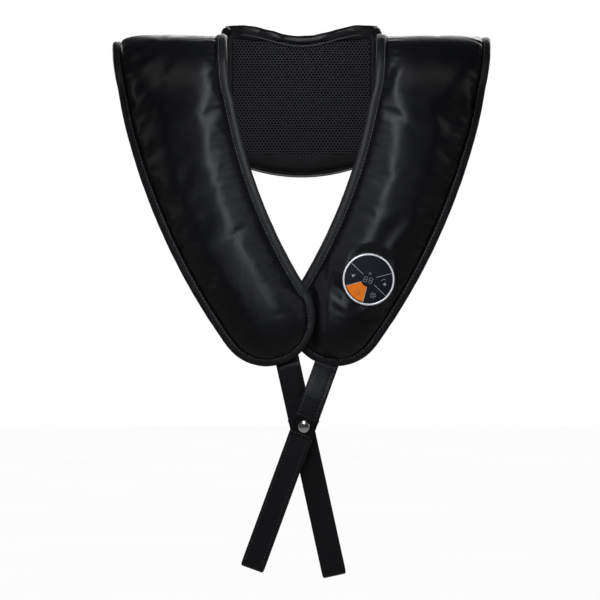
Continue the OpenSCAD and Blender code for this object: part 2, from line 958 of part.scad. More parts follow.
module tact_switches() {
    middles = [(up_start + mark_start) / 2, (down_start + power_start) / 2,
        (power_start + heat_start) / 2, (heat_start + up_start + 360) / 2];
    color("silver") at_panel() for (a = middles) translate([key_stem_at * cos(a), 0, key_stem_at * sin(a)]) {
        slab(board_front - 3, board_front - seam / 2) translate([-3, -3]) square(6);
        slab(key_stem_end + key_travel + seam, board_front - 2) circle(tact_button_r);
    }
}

module board_screws() {
    color(steel) at_panel() {
        slab(board_front - 1.2, board_front - seam / 2) board_screw_holes(2 * board_screw_r);
        slab(board_front - cut, housing_floor - housing_wall) board_screw_holes(board_screw_r);
    }
}

// ---- Hand straps ----

// Moves a strap drawn at the origin to its lapel. The right strap is the left one, front to back.
module at_strap(side) {
    slot = side == LEFT ? 1 : 0;
    translate([strap_root_x[slot], lapel_y, strap_root_z]) rotate([0, strap_turn[slot], 0])
        mirror([0, side == LEFT ? 0 : 1, 0]) children();
}

function sway(s) = mix(root_y, run_y, smooth(s / sway_len));

module strap_run() {
    stations = concat([for (i = [0 : sway_steps]) mix(strap_start, sway_len, i / sway_steps)],
        [strap_len - strap_start]);
    front = [for (s = stations) [sway(s) - strap_t / 2, -s]];
    back = [for (s = stations) [sway(s) + strap_t / 2, -s]];
    across(-strap_w / 2, strap_w / 2) polygon(concat(front, reversed(back)));
}

module at_snap() {
    translate([0, 0, -snap_at]) children();
}

module strap(side) {
    at_strap(side) difference() {
        strap_run();
        at_snap() slab(run_y - strap_t, run_y + strap_t) circle(post_r + seam);
    }
}

module strap_tail(side) {
    at_strap(side) difference() {
        slab(tail_y - strap_t / 2, tail_y + strap_t / 2) translate([-strap_w / 2, -strap_len + strap_start])
            square([strap_w, strap_len - strap_start - snap_at + tail_overhang]);
        at_snap() slab(tail_y - strap_t, tail_y + strap_t) circle(post_r + seam);
    }
}

// The stud goes through the strap and is closed by a flange behind it
module snap_stud(side) {
    front = run_y - strap_t / 2;
    back = run_y + strap_t / 2;
    at_strap(side) at_snap() {
        slab(front - stud_foot_t, front - seam / 2) circle(stud_foot_r);
        slab(front - stud_h, front - seam) circle(stud_r);
        slab(front - cut, back + cut / 2) circle(post_r);
        slab(back + seam / 2, back + 2 * stud_foot_t) circle(stud_foot_r);
    }
}

// The cap's post goes through the tail into the socket
module snap_cap(side) {
    front = tail_y - strap_t / 2 - seam / 2;
    dome_r = (cap_r * cap_r + cap_h * cap_h) / (2 * cap_h);
    at_strap(side) at_snap() {
        intersection() {
            translate([0, front - cap_h + dome_r, 0]) sphere(dome_r, $fn = 192);
            slab(front - cap_h, front) circle(cap_r + cut);
        }
        slab(front - cut / 2, tail_y + strap_t / 2 + 0.5) circle(post_r);
    }
}

module snap_socket(side) {
    back = tail_y + strap_t / 2;
    at_strap(side) at_snap() difference() {
        slab(back + seam / 2, back + socket_t) circle(socket_r);
        slab(back + socket_floor, back + socket_t + cut) circle(stud_r + 2 * seam);
        slab(back - cut, back + cut) circle(post_r + running);
    }
}

module left_strap() {
    color(leather) strap(LEFT);
}

module right_strap() {
    color(leather) strap(RIGHT);
}

module left_strap_tail() {
    color(leather) strap_tail(LEFT);
}

module right_strap_tail() {
    color(leather) strap_tail(RIGHT);
}

module left_snap_stud() {
    color(nickel) snap_stud(LEFT);
}

module right_snap_stud() {
    color(nickel) snap_stud(RIGHT);
}

module left_snap_cap() {
    color(nickel) snap_cap(LEFT);
}

module right_snap_cap() {
    color(nickel) snap_cap(RIGHT);
}

module left_snap_socket() {
    color(nickel) snap_socket(LEFT);
}

module right_snap_socket() {
    color(nickel) snap_socket(RIGHT);
}

back_cushion();
back_cover();
mesh_panel();
yoke_binding();
left_shoulder_pad();
right_shoulder_pad();
back_plate();
plate_screws();
gearbox_base();
gearbox_cover();
gearbox_screws();
spindle_bushes();
motor_can();
motor_end_cap();
motor_shaft();
worm();
left_worm_wheel();
left_spindle();
left_arm();
left_arm_pins();
right_worm_wheel();
right_spindle();
right_arm();
right_arm_pins();
left_large_head();
left_small_head();
right_large_head();
right_small_head();
heat_lamp_board();
heat_lamps();
thermal_cutout();
yoke_loom();
dc_jack();
left_lapel_cushion();
left_lapel_binding();
right_lapel_cushion();
right_lapel_binding();
panel_housing();
panel_bezel();
panel_fascia();
display_module();
control_board();
tact_switches();
board_screws();
lapel_loom();
power_key();
up_key();
down_key();
heat_key();
left_strap();
left_snap_stud();
left_strap_tail();
left_snap_cap();
left_snap_socket();
right_strap();
right_snap_stud();
right_strap_tail();
right_snap_cap();
right_snap_socket();
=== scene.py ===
"""Shiatsu neck massager: leather pads, bindings, spacer mesh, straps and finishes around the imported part."""
import json
import math
import bmesh
import bpy
import numpy as np
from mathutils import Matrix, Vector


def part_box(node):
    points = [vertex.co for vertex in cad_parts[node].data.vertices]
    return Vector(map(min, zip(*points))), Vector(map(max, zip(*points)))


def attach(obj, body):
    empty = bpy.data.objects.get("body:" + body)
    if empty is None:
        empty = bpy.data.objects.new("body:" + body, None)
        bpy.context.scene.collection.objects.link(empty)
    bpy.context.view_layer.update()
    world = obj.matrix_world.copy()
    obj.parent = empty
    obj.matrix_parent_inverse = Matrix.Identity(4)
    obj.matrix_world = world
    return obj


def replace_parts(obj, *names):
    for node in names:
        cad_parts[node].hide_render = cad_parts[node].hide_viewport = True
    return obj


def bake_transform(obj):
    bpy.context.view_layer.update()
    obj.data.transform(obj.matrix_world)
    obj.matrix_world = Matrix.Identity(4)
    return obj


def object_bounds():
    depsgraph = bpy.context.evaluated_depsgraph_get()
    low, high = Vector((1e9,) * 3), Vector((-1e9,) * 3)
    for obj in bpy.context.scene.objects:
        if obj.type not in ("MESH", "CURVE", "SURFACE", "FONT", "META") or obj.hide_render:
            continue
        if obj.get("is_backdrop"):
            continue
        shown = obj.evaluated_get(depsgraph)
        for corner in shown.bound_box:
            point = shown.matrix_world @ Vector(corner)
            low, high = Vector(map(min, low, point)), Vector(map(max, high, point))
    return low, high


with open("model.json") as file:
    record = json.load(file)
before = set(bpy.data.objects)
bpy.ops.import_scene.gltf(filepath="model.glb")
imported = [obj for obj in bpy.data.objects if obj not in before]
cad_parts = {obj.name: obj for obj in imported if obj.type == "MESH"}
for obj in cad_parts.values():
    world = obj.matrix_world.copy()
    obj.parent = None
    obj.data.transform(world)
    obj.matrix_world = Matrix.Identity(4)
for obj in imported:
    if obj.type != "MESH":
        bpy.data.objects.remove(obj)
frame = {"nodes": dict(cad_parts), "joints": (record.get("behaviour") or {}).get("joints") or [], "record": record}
CAD_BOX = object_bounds()
JOINTS = {joint["name"]: joint for joint in frame["joints"]}
SIDES = {"left": 1, "right": -1}
MM = 0.001


def box_mm(node):
    """Lowest and highest corner of a CAD node in millimetres."""
    low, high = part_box(node)
    return np.array(low) * 1000, np.array(high) * 1000


# ---- Measures in millimetres, from the frame and a few driving dimensions ----

RIDGE_Y, RIDGE_Z = (np.array(JOINTS["left_lapel_lift"]["pos_m"]) * 1000)[1:]
PAD_LOW, PAD_HIGH = box_mm("left_shoulder_pad")
LAPEL_LOW, LAPEL_HIGH = box_mm("left_lapel_binding")
FOAM_LOW, FOAM_HIGH = box_mm("back_cushion")
MESH_LOW = box_mm("mesh_panel")[0]
PAD_HALF = 20.0                                  # half thickness of a shoulder pad
ARC_A = PAD_HIGH[1] - PAD_HALF - RIDGE_Y         # depth of the curve over the shoulder
ARC_B = 65.0                                     # height of that curve
HANG_Z = RIDGE_Z - PAD_HALF - ARC_B              # below it the pads hang straight
TIP_R = 55.0
TOP_HALF_W = 65.5
TIP = np.array([LAPEL_LOW[0] + TIP_R, LAPEL_LOW[2] + TIP_R])
TOP = np.array([LAPEL_HIGH[0] - TOP_HALF_W, RIDGE_Z])
BOWS = ((0.058, 0.356), (0.431, 0.712))          # shares of the way from top to tip, across and down
LEAN = math.radians(1.6)
NECK_BAND, EDGE_BAND = 12.5, 9.0                 # widths of the sewn band at the neck and around the rest
NECK_BAND_LOW, NECK_BAND_FADE = -262.0, 50.0     # height where it starts to widen, and over how much
SEAM_SHARE = 0.86                                # where the puffed cover starts, as a share of the band
NECK_LIFT = 17.0                                 # rise of the neck band over the shoulder
EDGE_LIFT = {"left": 14.0, "right": 9.0}         # rise of the outer band over the shoulder
REAR_NECK_X = PAD_LOW[0]
REAR_TOP_Z = 50.0                                # above it the rear leg has its full width
REAR_HEM_Z = PAD_LOW[2]


def smooth(t):
    t = np.clip(t, 0, 1)
    return t * t * (3 - 2 * t)


def mix(a, b, t):
    return a + (b - a) * t


# ---- Mesh helpers ----

def add_mesh(name, points, faces, material, flat=False):
    """A mesh object from points in millimetres."""
    mesh = bpy.data.meshes.new(name)
    mesh.from_pydata((np.asarray(points, float).reshape(-1, 3) * MM).tolist(), [], [list(f) for f in faces])
    mesh.polygons.foreach_set("use_smooth", [not flat] * len(mesh.polygons))
    tidy = bmesh.new()
    tidy.from_mesh(mesh)
    bmesh.ops.recalc_face_normals(tidy, faces=tidy.faces)
    tidy.to_mesh(mesh)
    tidy.free()
    mesh.materials.append(material)
    obj = bpy.data.objects.new(name, mesh)
    bpy.context.scene.collection.objects.link(obj)
    return obj


def sheet_faces(rows, columns, offset=0, ring=False, loop=False):
    """Quads over a grid of points: ring closes each row, loop joins the last row to the first."""
    faces = []
    for i in range(rows if loop else rows - 1):
        for j in range(columns if ring else columns - 1):
            a, b = i * columns + j, i * columns + (j + 1) % columns
            c = ((i + 1) % rows) * columns
            faces.append((offset + a, offset + b, offset + c + (j + 1) % columns, offset + c + j))
    return faces


def tube_mesh(rows, loop=False, offset=0):
    """Points and faces of a tube whose cross-sections are the rows, closed at both ends unless it loops."""
    rows = np.asarray(rows, float)
    n, m = rows.shape[:2]
    faces = sheet_faces(n, m, offset, ring=True, loop=loop)
    if not loop:
        last = offset + (n - 1) * m
        faces += [tuple(range(offset, offset + m)), tuple(range(last + m - 1, last - 1, -1))]
    return rows.reshape(-1, 3), faces


def add_tube(name, rows, material, loop=False):
    points, faces = tube_mesh(rows, loop)
    return add_mesh(name, points, faces, material)


def round_rows(path, radius, sides=8, normal=None):
    """Round cross-sections along a path of points."""
    path = np.asarray(path, float)
    way = np.gradient(path, axis=0)
    way /= np.linalg.norm(way, axis=1)[:, None]
    up = np.broadcast_to(np.array([0, 1, 0.0]) if normal is None else normal, path.shape)
    side = np.cross(way, up)
    side /= np.linalg.norm(side, axis=1)[:, None]
    up = np.cross(side, way)
    angles = np.linspace(0, 2 * np.pi, sides, endpoint=False)
    radius = np.broadcast_to(radius, len(path))[:, None, None]
    return path[:, None] + radius * (np.cos(angles)[None, :, None] * side[:, None]
                                     + np.sin(angles)[None, :, None] * up[:, None])


def add_round(name, path, radius, material, sides=8, normal=None):
    return add_tube(name, round_rows(path, radius, sides, normal), material)


def lengths_to(path):
    """Distance along a path to each of its points."""
    return np.concatenate([[0], np.cumsum(np.linalg.norm(np.diff(path, axis=0), axis=1))])


def along(path, spacing):
    """Points of a path, evenly spaced."""
    path = np.asarray(path, float)
    length = lengths_to(path)
    count = max(2, int(round(length[-1] / spacing)) + 1)
    at = np.linspace(0, length[-1], count)
    return np.stack([np.interp(at, length, path[:, k]) for k in range(path.shape[1])], 1)


# Profile of one stitch: share of its length, rise and thickness as shares of the thread's radius
STITCH_AT = np.array([0, 0.18, 0.5, 0.82, 1.0])
STITCH_RISE = np.array([-0.9, 0.1, 0.35, 0.1, -0.9])
STITCH_THICK = np.array([0.45, 0.95, 1.0, 0.95, 0.45])
STITCH_SIDES = 6


def add_stitches(name, path, normal, length=2.7, gap=1.3, radius=0.33, sink=0.1):
    """A row of single stitches along a path: each is a short capsule whose ends dip into the leather."""
    fine = along(path, 0.5)
    normals = np.broadcast_to(normal, np.asarray(path).shape)
    lengths = lengths_to(path)
    fine_at = np.linspace(0, lengths[-1], len(fine))
    fine_normals = np.stack([np.interp(fine_at, lengths, normals[:, k]) for k in range(3)], 1)
    step = fine_at[1] - fine_at[0]
    points, faces = [], []
    for start in np.arange(0, lengths[-1] - length, length + gap):
        at = start + STITCH_AT * length
        index = np.minimum((at / step).round().astype(int), len(fine) - 1)
        if index[-1] == index[0]:
            continue
        up = fine_normals[index[2]] / np.linalg.norm(fine_normals[index[2]])
        way = fine[index[-1]] - fine[index[0]]
        centre = fine[index[0]] + way * STITCH_AT[:, None]
        centre = centre + up * (radius * STITCH_RISE[:, None] - sink)
        rows = round_rows(centre, radius * STITCH_THICK, STITCH_SIDES, up)
        new_points, new_faces = tube_mesh(rows, offset=len(STITCH_AT) * STITCH_SIDES * len(points))
        points.append(new_points)
        faces += new_faces
    return add_mesh(name, np.concatenate(points), faces, THREAD)


def fit(piece, body, *nodes):
    """Rides a piece on its body, in place of the CAD nodes it stands for."""
    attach(piece, body)
    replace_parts(piece, *nodes)


def sew(name, path, normal, body):
    """A row of stitches that rides on a body."""
    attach(add_stitches(name, path, normal), body)


# ---- Materials ----

def material_nodes(name, colour, roughness, metallic=0.0):
    """A Principled material with object coordinates ready for its textures."""
    material = bpy.data.materials.new(name)
    material.use_nodes = True
    nodes, links = material.node_tree.nodes, material.node_tree.links
    shader = nodes["Principled BSDF"]
    shader.inputs["Base Color"].default_value = (*colour, 1)
    shader.inputs["Roughness"].default_value = roughness
    shader.inputs["Metallic"].default_value = metallic
    place = nodes.new("ShaderNodeTexCoord").outputs["Object"]
    return material, nodes, links, shader, place


def noise(nodes, links, place, scale, detail=3.0, stretch=None):
    """Noise with a scale in cells per metre, and optionally stretched."""
    if stretch:
        mapping = nodes.new("ShaderNodeMapping")
        mapping.inputs["Scale"].default_value = stretch
        links.new(place, mapping.inputs["Vector"])
        place = mapping.outputs["Vector"]
    texture = nodes.new("ShaderNodeTexNoise")
    texture.inputs["Scale"].default_value = scale
    texture.inputs["Detail"].default_value = detail
    links.new(place, texture.inputs["Vector"])
    return texture.outputs["Fac"]


def cells(nodes, links, place, scale, feature="F1"):
    texture = nodes.new("ShaderNodeTexVoronoi")
    texture.feature = feature
    texture.inputs["Scale"].default_value = scale
    links.new(place, texture.inputs["Vector"])
    return texture.outputs["Distance"]


def spread(nodes, links, value, low, high, source=(0.0, 1.0)):
    """Maps a value to a range."""
    node = nodes.new("ShaderNodeMapRange")
    for key, number in zip(("From Min", "From Max", "To Min", "To Max"), (*source, low, high)):
        node.inputs[key].default_value = number
    links.new(value, node.inputs["Value"])
    return node.outputs["Result"]


def tint(nodes, links, value, dark, light):
    """Mixes two colours by a value."""
    node = nodes.new("ShaderNodeMix")
    node.data_type = "RGBA"
    node.inputs["A"].default_value = (*dark, 1)
    node.inputs["B"].default_value = (*light, 1)
    links.new(value, node.inputs["Factor"])
    return node.outputs["Result"]


def add_bump(nodes, links, shader, layers):
    """Stacks bump layers: (height, strength, distance in metres)."""
    previous = None
    for height, strength, distance in layers:
        bump = nodes.new("ShaderNodeBump")
        bump.inputs["Strength"].default_value = strength
        bump.inputs["Distance"].default_value = distance
        links.new(height, bump.inputs["Height"])
        if previous:
            links.new(previous, bump.inputs["Normal"])
        previous = bump.outputs["Normal"]
    links.new(previous, shader.inputs["Normal"])


def leather(name, dark, light, rough_low, rough_high, grain=1.0, gloss=0.23):
    """Smooth coated leather: fine pebble grain, faint creases and slightly uneven gloss."""
    material, nodes, links, shader, place = material_nodes(name, dark, rough_low)
    shader.inputs["Specular IOR Level"].default_value = gloss
    cloud = noise(nodes, links, place, 22, 4)
    links.new(tint(nodes, links, spread(nodes, links, cloud, 0, 1, (0.3, 0.7)), dark, light),
              shader.inputs["Base Color"])
    links.new(spread(nodes, links, noise(nodes, links, place, 75, 5), rough_low, rough_high, (0.3, 0.7)),
              shader.inputs["Roughness"])
    add_bump(nodes, links, shader, [
        (noise(nodes, links, place, 120, 3, (1, 1, 0.45)), 0.25 * grain, 0.0006),
        (cells(nodes, links, place, 1100, "SMOOTH_F1"), 0.35 * grain, 0.00016),
        (noise(nodes, links, place, 2600, 2), 0.2 * grain, 0.0001)])
    return material


def moulded(name, colour, roughness, speck=1500, strength=0.12):
    """Moulded plastic with a fine spark-eroded texture."""
    material, nodes, links, shader, place = material_nodes(name, colour, roughness)
    cloud = noise(nodes, links, place, 60, 3)
    links.new(tint(nodes, links, cloud, [0.88 * c for c in colour], [min(1, 1.1 * c) for c in colour]),
              shader.inputs["Base Color"])
    links.new(spread(nodes, links, cloud, roughness - 0.05, roughness + 0.06), shader.inputs["Roughness"])
    add_bump(nodes, links, shader, [(noise(nodes, links, place, speck, 2), strength, 0.00015)])
    return material


def metal(name, colour, roughness, brushed=(1, 1, 12)):
    """Turned or rolled metal with fine directional marks."""
    material, nodes, links, shader, place = material_nodes(name, colour, roughness, 1.0)
    marks = noise(nodes, links, place, 420, 4, brushed)
    links.new(spread(nodes, links, marks, max(0.04, roughness - 0.08), roughness + 0.1),
              shader.inputs["Roughness"])
    links.new(tint(nodes, links, noise(nodes, links, place, 90, 3), [0.82 * c for c in colour], colour),
              shader.inputs["Base Color"])
    add_bump(nodes, links, shader, [(marks, 0.08, 0.0001)])
    return material


def glossy(name, colour, roughness, coat=0.0, gloss=0.5):
    """Printed or painted plastic, slightly uneven, under an optional clear coat."""
    material, nodes, links, shader, place_at = material_nodes(name, colour, roughness)
    cloud = noise(nodes, links, place_at, 260, 4)
    links.new(tint(nodes, links, cloud, [0.85 * c for c in colour], [min(1, 1.12 * c) for c in colour]),
              shader.inputs["Base Color"])
    shader.inputs["Specular IOR Level"].default_value = gloss
    shader.inputs["Coat Weight"].default_value = coat
    shader.inputs["Coat Roughness"].default_value = 0.08
    add_bump(nodes, links, shader, [(noise(nodes, links, place_at, 800, 2), 0.04, 0.0001)])
    return material


def woven(name, dark, light, pitch, roughness=0.75, gloss=0.4, sheen=0.12):
    """Close woven cloth: crossed threads whose colour follows the weave's bump, darker in the hollows between them
    as painted shade.
    """
    material, nodes, links, shader, place = material_nodes(name, dark, roughness)
    waves = []
    for direction in ("X", "Z"):
        wave = nodes.new("ShaderNodeTexWave")
        wave.bands_direction = direction
        wave.inputs["Scale"].default_value = 1000 / pitch / 3.14
        wave.inputs["Distortion"].default_value = 0.6
        links.new(place, wave.inputs["Vector"])
        waves.append(wave.outputs["Fac"])
    weave = nodes.new("ShaderNodeMath")
    weave.operation = "MULTIPLY"
    links.new(waves[0], weave.inputs[0])
    links.new(waves[1], weave.inputs[1])
    # Painted shade: the colour is darker where the weave is low, in the hollows between the threads
    links.new(tint(nodes, links, weave.outputs["Value"], dark, light), shader.inputs["Base Color"])
    shader.inputs["Sheen Weight"].default_value = sheen
    shader.inputs["Specular IOR Level"].default_value = gloss
    add_bump(nodes, links, shader, [(weave.outputs["Value"], 0.5, 0.0003)])
    return material


LEATHER = leather("pad_leather", (0.0026, 0.0027, 0.0034), (0.0044, 0.0046, 0.0054), 0.33, 0.43)
BAND = leather("band_leather", (0.0060, 0.0062, 0.0070), (0.0098, 0.0100, 0.0110), 0.40, 0.52, 1.3)
STRAP = leather("strap_leather", (0.0080, 0.0082, 0.0094), (0.0112, 0.0115, 0.0128), 0.43, 0.54, 0.7)
HEM = leather("hem_leather", (0.0020, 0.0020, 0.0024), (0.0036, 0.0036, 0.0042), 0.46, 0.58, 0.8, 0.09)
PIPING = leather("piping_leather", (0.012, 0.0123, 0.0138), (0.020, 0.0205, 0.0225), 0.34, 0.44, 0.6, 0.4)
SPACER = woven("spacer_knit", (0.0090, 0.0094, 0.0108), (0.0230, 0.0236, 0.0262), 0.55)
# The mesh's back layer, near-black and matte: partly its own dark cloth, partly painted shade inside the holes
LINING_PAINTED_SHADE = woven("spacer_lining_painted_shade", (0.0018, 0.0018, 0.0020), (0.0040, 0.0040, 0.0045), 0.8, 0.9, 0.02, 0.0)
THREAD = woven("sewing_thread", (0.090, 0.093, 0.100), (0.160, 0.165, 0.178), 0.5, 0.6)

# ---- Camera, light and stage ----

CAMERA_LENS, CAMERA_AWAY = 200.7, 3830.0
CAMERA_X, CAMERA_Z = -1.8, -223.4
FLOOR_BELOW, FLOOR_SIZE = 60.0, 6000.0


def mix_by_camera_ray(nodes, links, lighting, seen):
    """What lights the object and what the camera sees, chosen by the kind of ray."""
    ray, choice = nodes.new("ShaderNodeLightPath"), nodes.new("ShaderNodeMixShader")
    links.new(ray.outputs["Is Camera Ray"], choice.inputs["Fac"])
    links.new(lighting, choice.inputs[1])
    links.new(seen, choice.inputs[2])
    return choice.outputs["Shader"]


def build_stage():
    scene = bpy.context.scene
    scene.view_settings.view_transform = "Standard"
    world = bpy.data.worlds.new("studio")
    world.use_nodes = True
    nodes, links = world.node_tree.nodes, world.node_tree.links
    seen, ambient = nodes["Background"], nodes.new("ShaderNodeBackground")
    seen.inputs["Color"].default_value = (1, 1, 1, 1)
    seen.inputs["Strength"].default_value = 1.0
    ambient.inputs["Color"].default_value = (0.86, 0.90, 1.0, 1)
    ambient.inputs["Strength"].default_value = 0.06
    sky = mix_by_camera_ray(nodes, links, ambient.outputs["Background"], seen.outputs["Background"])
    links.new(sky, nodes["World Output"].inputs["Surface"])
    scene.world = world

    paint, nodes, links, shader, place = material_nodes("stage_paint", (0.9, 0.9, 0.9), 0.9)
    cloud = noise(nodes, links, place, 3, 2)
    links.new(tint(nodes, links, cloud, (0.55, 0.55, 0.55), (0.60, 0.60, 0.60)), shader.inputs["Base Color"])
    glow = nodes.new("ShaderNodeEmission")
    links.new(tint(nodes, links, cloud, (0.96, 0.96, 0.96), (0.99, 0.99, 0.99)), glow.inputs["Color"])
    surface = mix_by_camera_ray(nodes, links, shader.outputs["BSDF"], glow.outputs["Emission"])
    links.new(surface, nodes["Material Output"].inputs["Surface"])
    floor_z = CAD_BOX[0].z * 1000 - FLOOR_BELOW
    corners = [(x * FLOOR_SIZE, y * FLOOR_SIZE, floor_z) for x, y in ((-1, -1), (1, -1), (1, 1), (-1, 1))]
    floor = add_mesh("stage_floor", corners, [(0, 1, 2, 3)], paint)
    floor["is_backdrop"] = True

    camera = bpy.data.objects.new("camera", bpy.data.cameras.new("camera"))
    camera.data.lens = CAMERA_LENS
    camera.data.sensor_width = 36
    camera.location = [c * MM for c in (CAMERA_X, PAD_LOW[1] - CAMERA_AWAY, CAMERA_Z)]
    camera.rotation_euler = (math.pi / 2, 0, 0)
    camera.data.clip_end = 50
    scene.collection.objects.link(camera)
    scene.camera = camera

    def area(name, place_mm, aim_mm, size_x, size_y, power, colour=(1, 1, 1)):
        lamp = bpy.data.lights.new(name, "AREA")
        lamp.shape = "RECTANGLE"
        lamp.size, lamp.size_y, lamp.energy, lamp.color = size_x, size_y, power, colour
        obj = bpy.data.objects.new(name, lamp)
        obj.location = [c * MM for c in place_mm]
        way = obj.location.copy()
        for k in range(3):
            way[k] = (aim_mm[k] - place_mm[k]) * MM
        obj.rotation_euler = way.to_track_quat("-Z", "Y").to_euler()
        obj.visible_camera = False
        scene.collection.objects.link(obj)

    area("front_strip", (0, -350, 20), (0, -180, -80), 0.07, 0.50, 0.80, (0.93, 0.96, 1.0))
    area("top_key", (-200, -1100, 1500), (0, -120, 0), 1.2, 0.8, 3.4)
    area("left_fill", (-1500, -900, 300), (-50, -150, -100), 0.5, 1.3, 3.2, (0.95, 0.97, 1.0))
    area("right_fill", (1500, -1100, 500), (50, -150, -100), 0.5, 1.3, 3.2, (0.95, 0.97, 1.0))
    area("rear_key", (400, 1600, 500), (0, -60, -60), 1.4, 1.0, 22)
    area("rear_left_strip", (1100, 1300, 100), (60, 0, -60), 0.35, 1.3, 9)
    area("rear_right_strip", (-1100, 1300, 100), (-60, 0, -60), 0.35, 1.3, 9)


build_stage()

# ---- The panel's place ----

PANEL_LOW, PANEL_HIGH = box_mm("panel_bezel")
PANEL = (PANEL_LOW + PANEL_HIGH) / 2
RING_R = (PANEL_HIGH[0] - PANEL_LOW[0]) / 2
FACE_Y = box_mm("panel_fascia")[0][1]
PANEL_TURN = math.radians(-15)

# ---- The pads' pattern: x across, s along the pad from the ridge (front below 0, rear above 0) ----

ARC_ANGLES = np.linspace(0, np.pi / 2, 400)
ARC_STEPS = np.hypot(ARC_A * np.cos(ARC_ANGLES), ARC_B * np.sin(ARC_ANGLES))
ARC_LENGTHS = np.concatenate([[0], np.cumsum((ARC_STEPS[1:] + ARC_STEPS[:-1]) / 2 * ARC_ANGLES[1])])
ARC = ARC_LENGTHS[-1]
SILHOUETTE = ARC_B + PAD_HALF


def height_of(s):
    """Height of the pad's outer face at a distance from the ridge."""
    reach = np.abs(s)
    angle = np.interp(reach, ARC_LENGTHS, ARC_ANGLES)
    return HANG_Z + SILHOUETTE * np.cos(angle) - np.maximum(reach - ARC, 0)


def reach_of(z):
    """Distance from the ridge at which the pad's outer face has a height."""
    angle = np.arccos(np.clip((z - HANG_Z) / SILHOUETTE, 0, 1))
    return np.interp(angle, ARC_ANGLES, ARC_LENGTHS) + np.maximum(HANG_Z - z, 0)


def over_shoulder(s):
    """1 at the ridge, 0 where the pad hangs straight."""
    return np.cos(np.interp(np.abs(s), ARC_LENGTHS, ARC_ANGLES)) ** 2


def place(side, x, s, off):
    """Point in the frame for a place on the pattern, off millimetres outside the pad's middle layer."""
    x, s, off = np.broadcast_arrays(np.asarray(x, float), s, off)
    way = np.where(s <= 0, -1.0, 1.0)
    angle = np.interp(np.abs(s), ARC_LENGTHS, ARC_ANGLES)
    below = np.maximum(np.abs(s) - ARC, 0)
    y = RIDGE_Y + way * ARC_A * np.sin(angle)
    z = HANG_Z + ARC_B * np.cos(angle) - below
    out_y, out_z = way * np.sin(angle) / ARC_A, np.cos(angle) / ARC_B
    size = np.hypot(out_y, out_z)
    y, z = y + off * out_y / size, z + off * out_z / size
    drop = below - 20 * (1 - np.exp(-below / 20))
    y = np.where(s < 0, y + SIDES[side] * math.tan(LEAN) * drop, y)
    return np.stack([SIDES[side] * x, y, z], -1)


def spine(t):
    a = TOP + (TIP - TOP) * BOWS[0]
    b = TOP + (TIP - TOP) * BOWS[1]
    t = np.asarray(t, float)[..., None]
    point = (1 - t) ** 3 * TOP + 3 * t * (1 - t) ** 2 * a + 3 * t * t * (1 - t) * b + t ** 3 * TIP
    way = (1 - t) ** 2 * (a - TOP) + 2 * t * (1 - t) * (b - a) + t * t * (TIP - b)
    return point, way / np.linalg.norm(way, axis=-1, keepdims=True)


def beside(t, edge, inset):
    point, way = spine(t)
    half = mix(TOP_HALF_W, TIP_R, np.asarray(t)) - inset
    return point + edge * half[..., None] * np.stack([-way[..., 1], way[..., 0]], -1)


def band_width(edge, z):
    """Width of the sewn band: wide at the neck, narrowing to the tip."""
    neck = mix(EDGE_BAND, NECK_BAND, smooth((z - NECK_BAND_LOW) / NECK_BAND_FADE))
    return np.where(edge < 0, neck, EDGE_BAND)


def pattern_rows(pitch, inset=0.0, share=0.0):
    """Neck and outer ends of the rows across a pad, in pattern places, from the rear hem to the round tip.
    inset moves both edges in; share moves them in by that share of the sewn band's width."""
    rear_s = np.linspace(reach_of(REAR_HEM_Z + 6 + inset + share * EDGE_BAND), 0,
                         int((ARC + 48) / pitch) + 1)[:-1]
    rear_z = height_of(rear_s)
    fall = np.clip((REAR_TOP_Z - rear_z) / (REAR_TOP_Z - REAR_HEM_Z), 0, 1)
    rear_neck = mix(TOP[0] - TOP_HALF_W, REAR_NECK_X, smooth(rear_s / 30))
    rear_outer = REAR_NECK_X + (PAD_HIGH[0] - REAR_NECK_X) * (1 - fall ** 2)
    cut_neck, cut_outer = inset + share * NECK_BAND, inset + share * EDGE_BAND
    slope = np.clip(2 * fall / (REAR_TOP_Z - REAR_HEM_Z) * (PAD_HIGH[0] - REAR_NECK_X), 0, 3)
    neck = [np.stack([rear_neck + cut_neck, rear_s], -1)]
    rear_edge = np.maximum(rear_outer - cut_outer * np.hypot(1, slope), rear_neck + cut_neck + 1)
    outer = [np.stack([rear_edge, rear_s], -1)]

    arc_s = np.linspace(0, ARC, int(ARC / pitch) + 1)
    hang_t = np.linspace(0, 1, 1000)
    hang_z = spine(hang_t)[0][:, 1]
    arc_t = np.interp(-height_of(arc_s), -hang_z, hang_t)
    start_t = np.interp(-HANG_Z, -hang_z, hang_t)
    t = np.concatenate([arc_t, np.linspace(start_t, 1, int(250 / pitch))[1:]])
    z_middle = spine(t)[0][:, 1]
    slant = smooth(1 - (z_middle - HANG_Z) / 30)
    for edge, rows in ((-1, neck), (1, outer)):
        cut = inset + share * band_width(edge, z_middle)
        point = beside(t, edge, cut)
        z = mix(z_middle, point[:, 1], slant)
        rows.append(np.stack([point[:, 0], -reach_of(z)], -1))

    tip_r = TIP_R - inset - share * EDGE_BAND
    phi = np.linspace(0, np.pi / 2, int(tip_r * 1.5 / pitch))[1:-1]
    middle, way = spine(1.0)
    across = np.array([-way[1], way[0]])
    for edge, rows in ((-1, neck), (1, outer)):
        point = middle + np.sin(phi)[:, None] * tip_r * way + edge * np.cos(phi)[:, None] * tip_r * across
        rows.append(np.stack([point[:, 0], -reach_of(point[:, 1])], -1))
    return np.concatenate(neck), np.concatenate(outer)


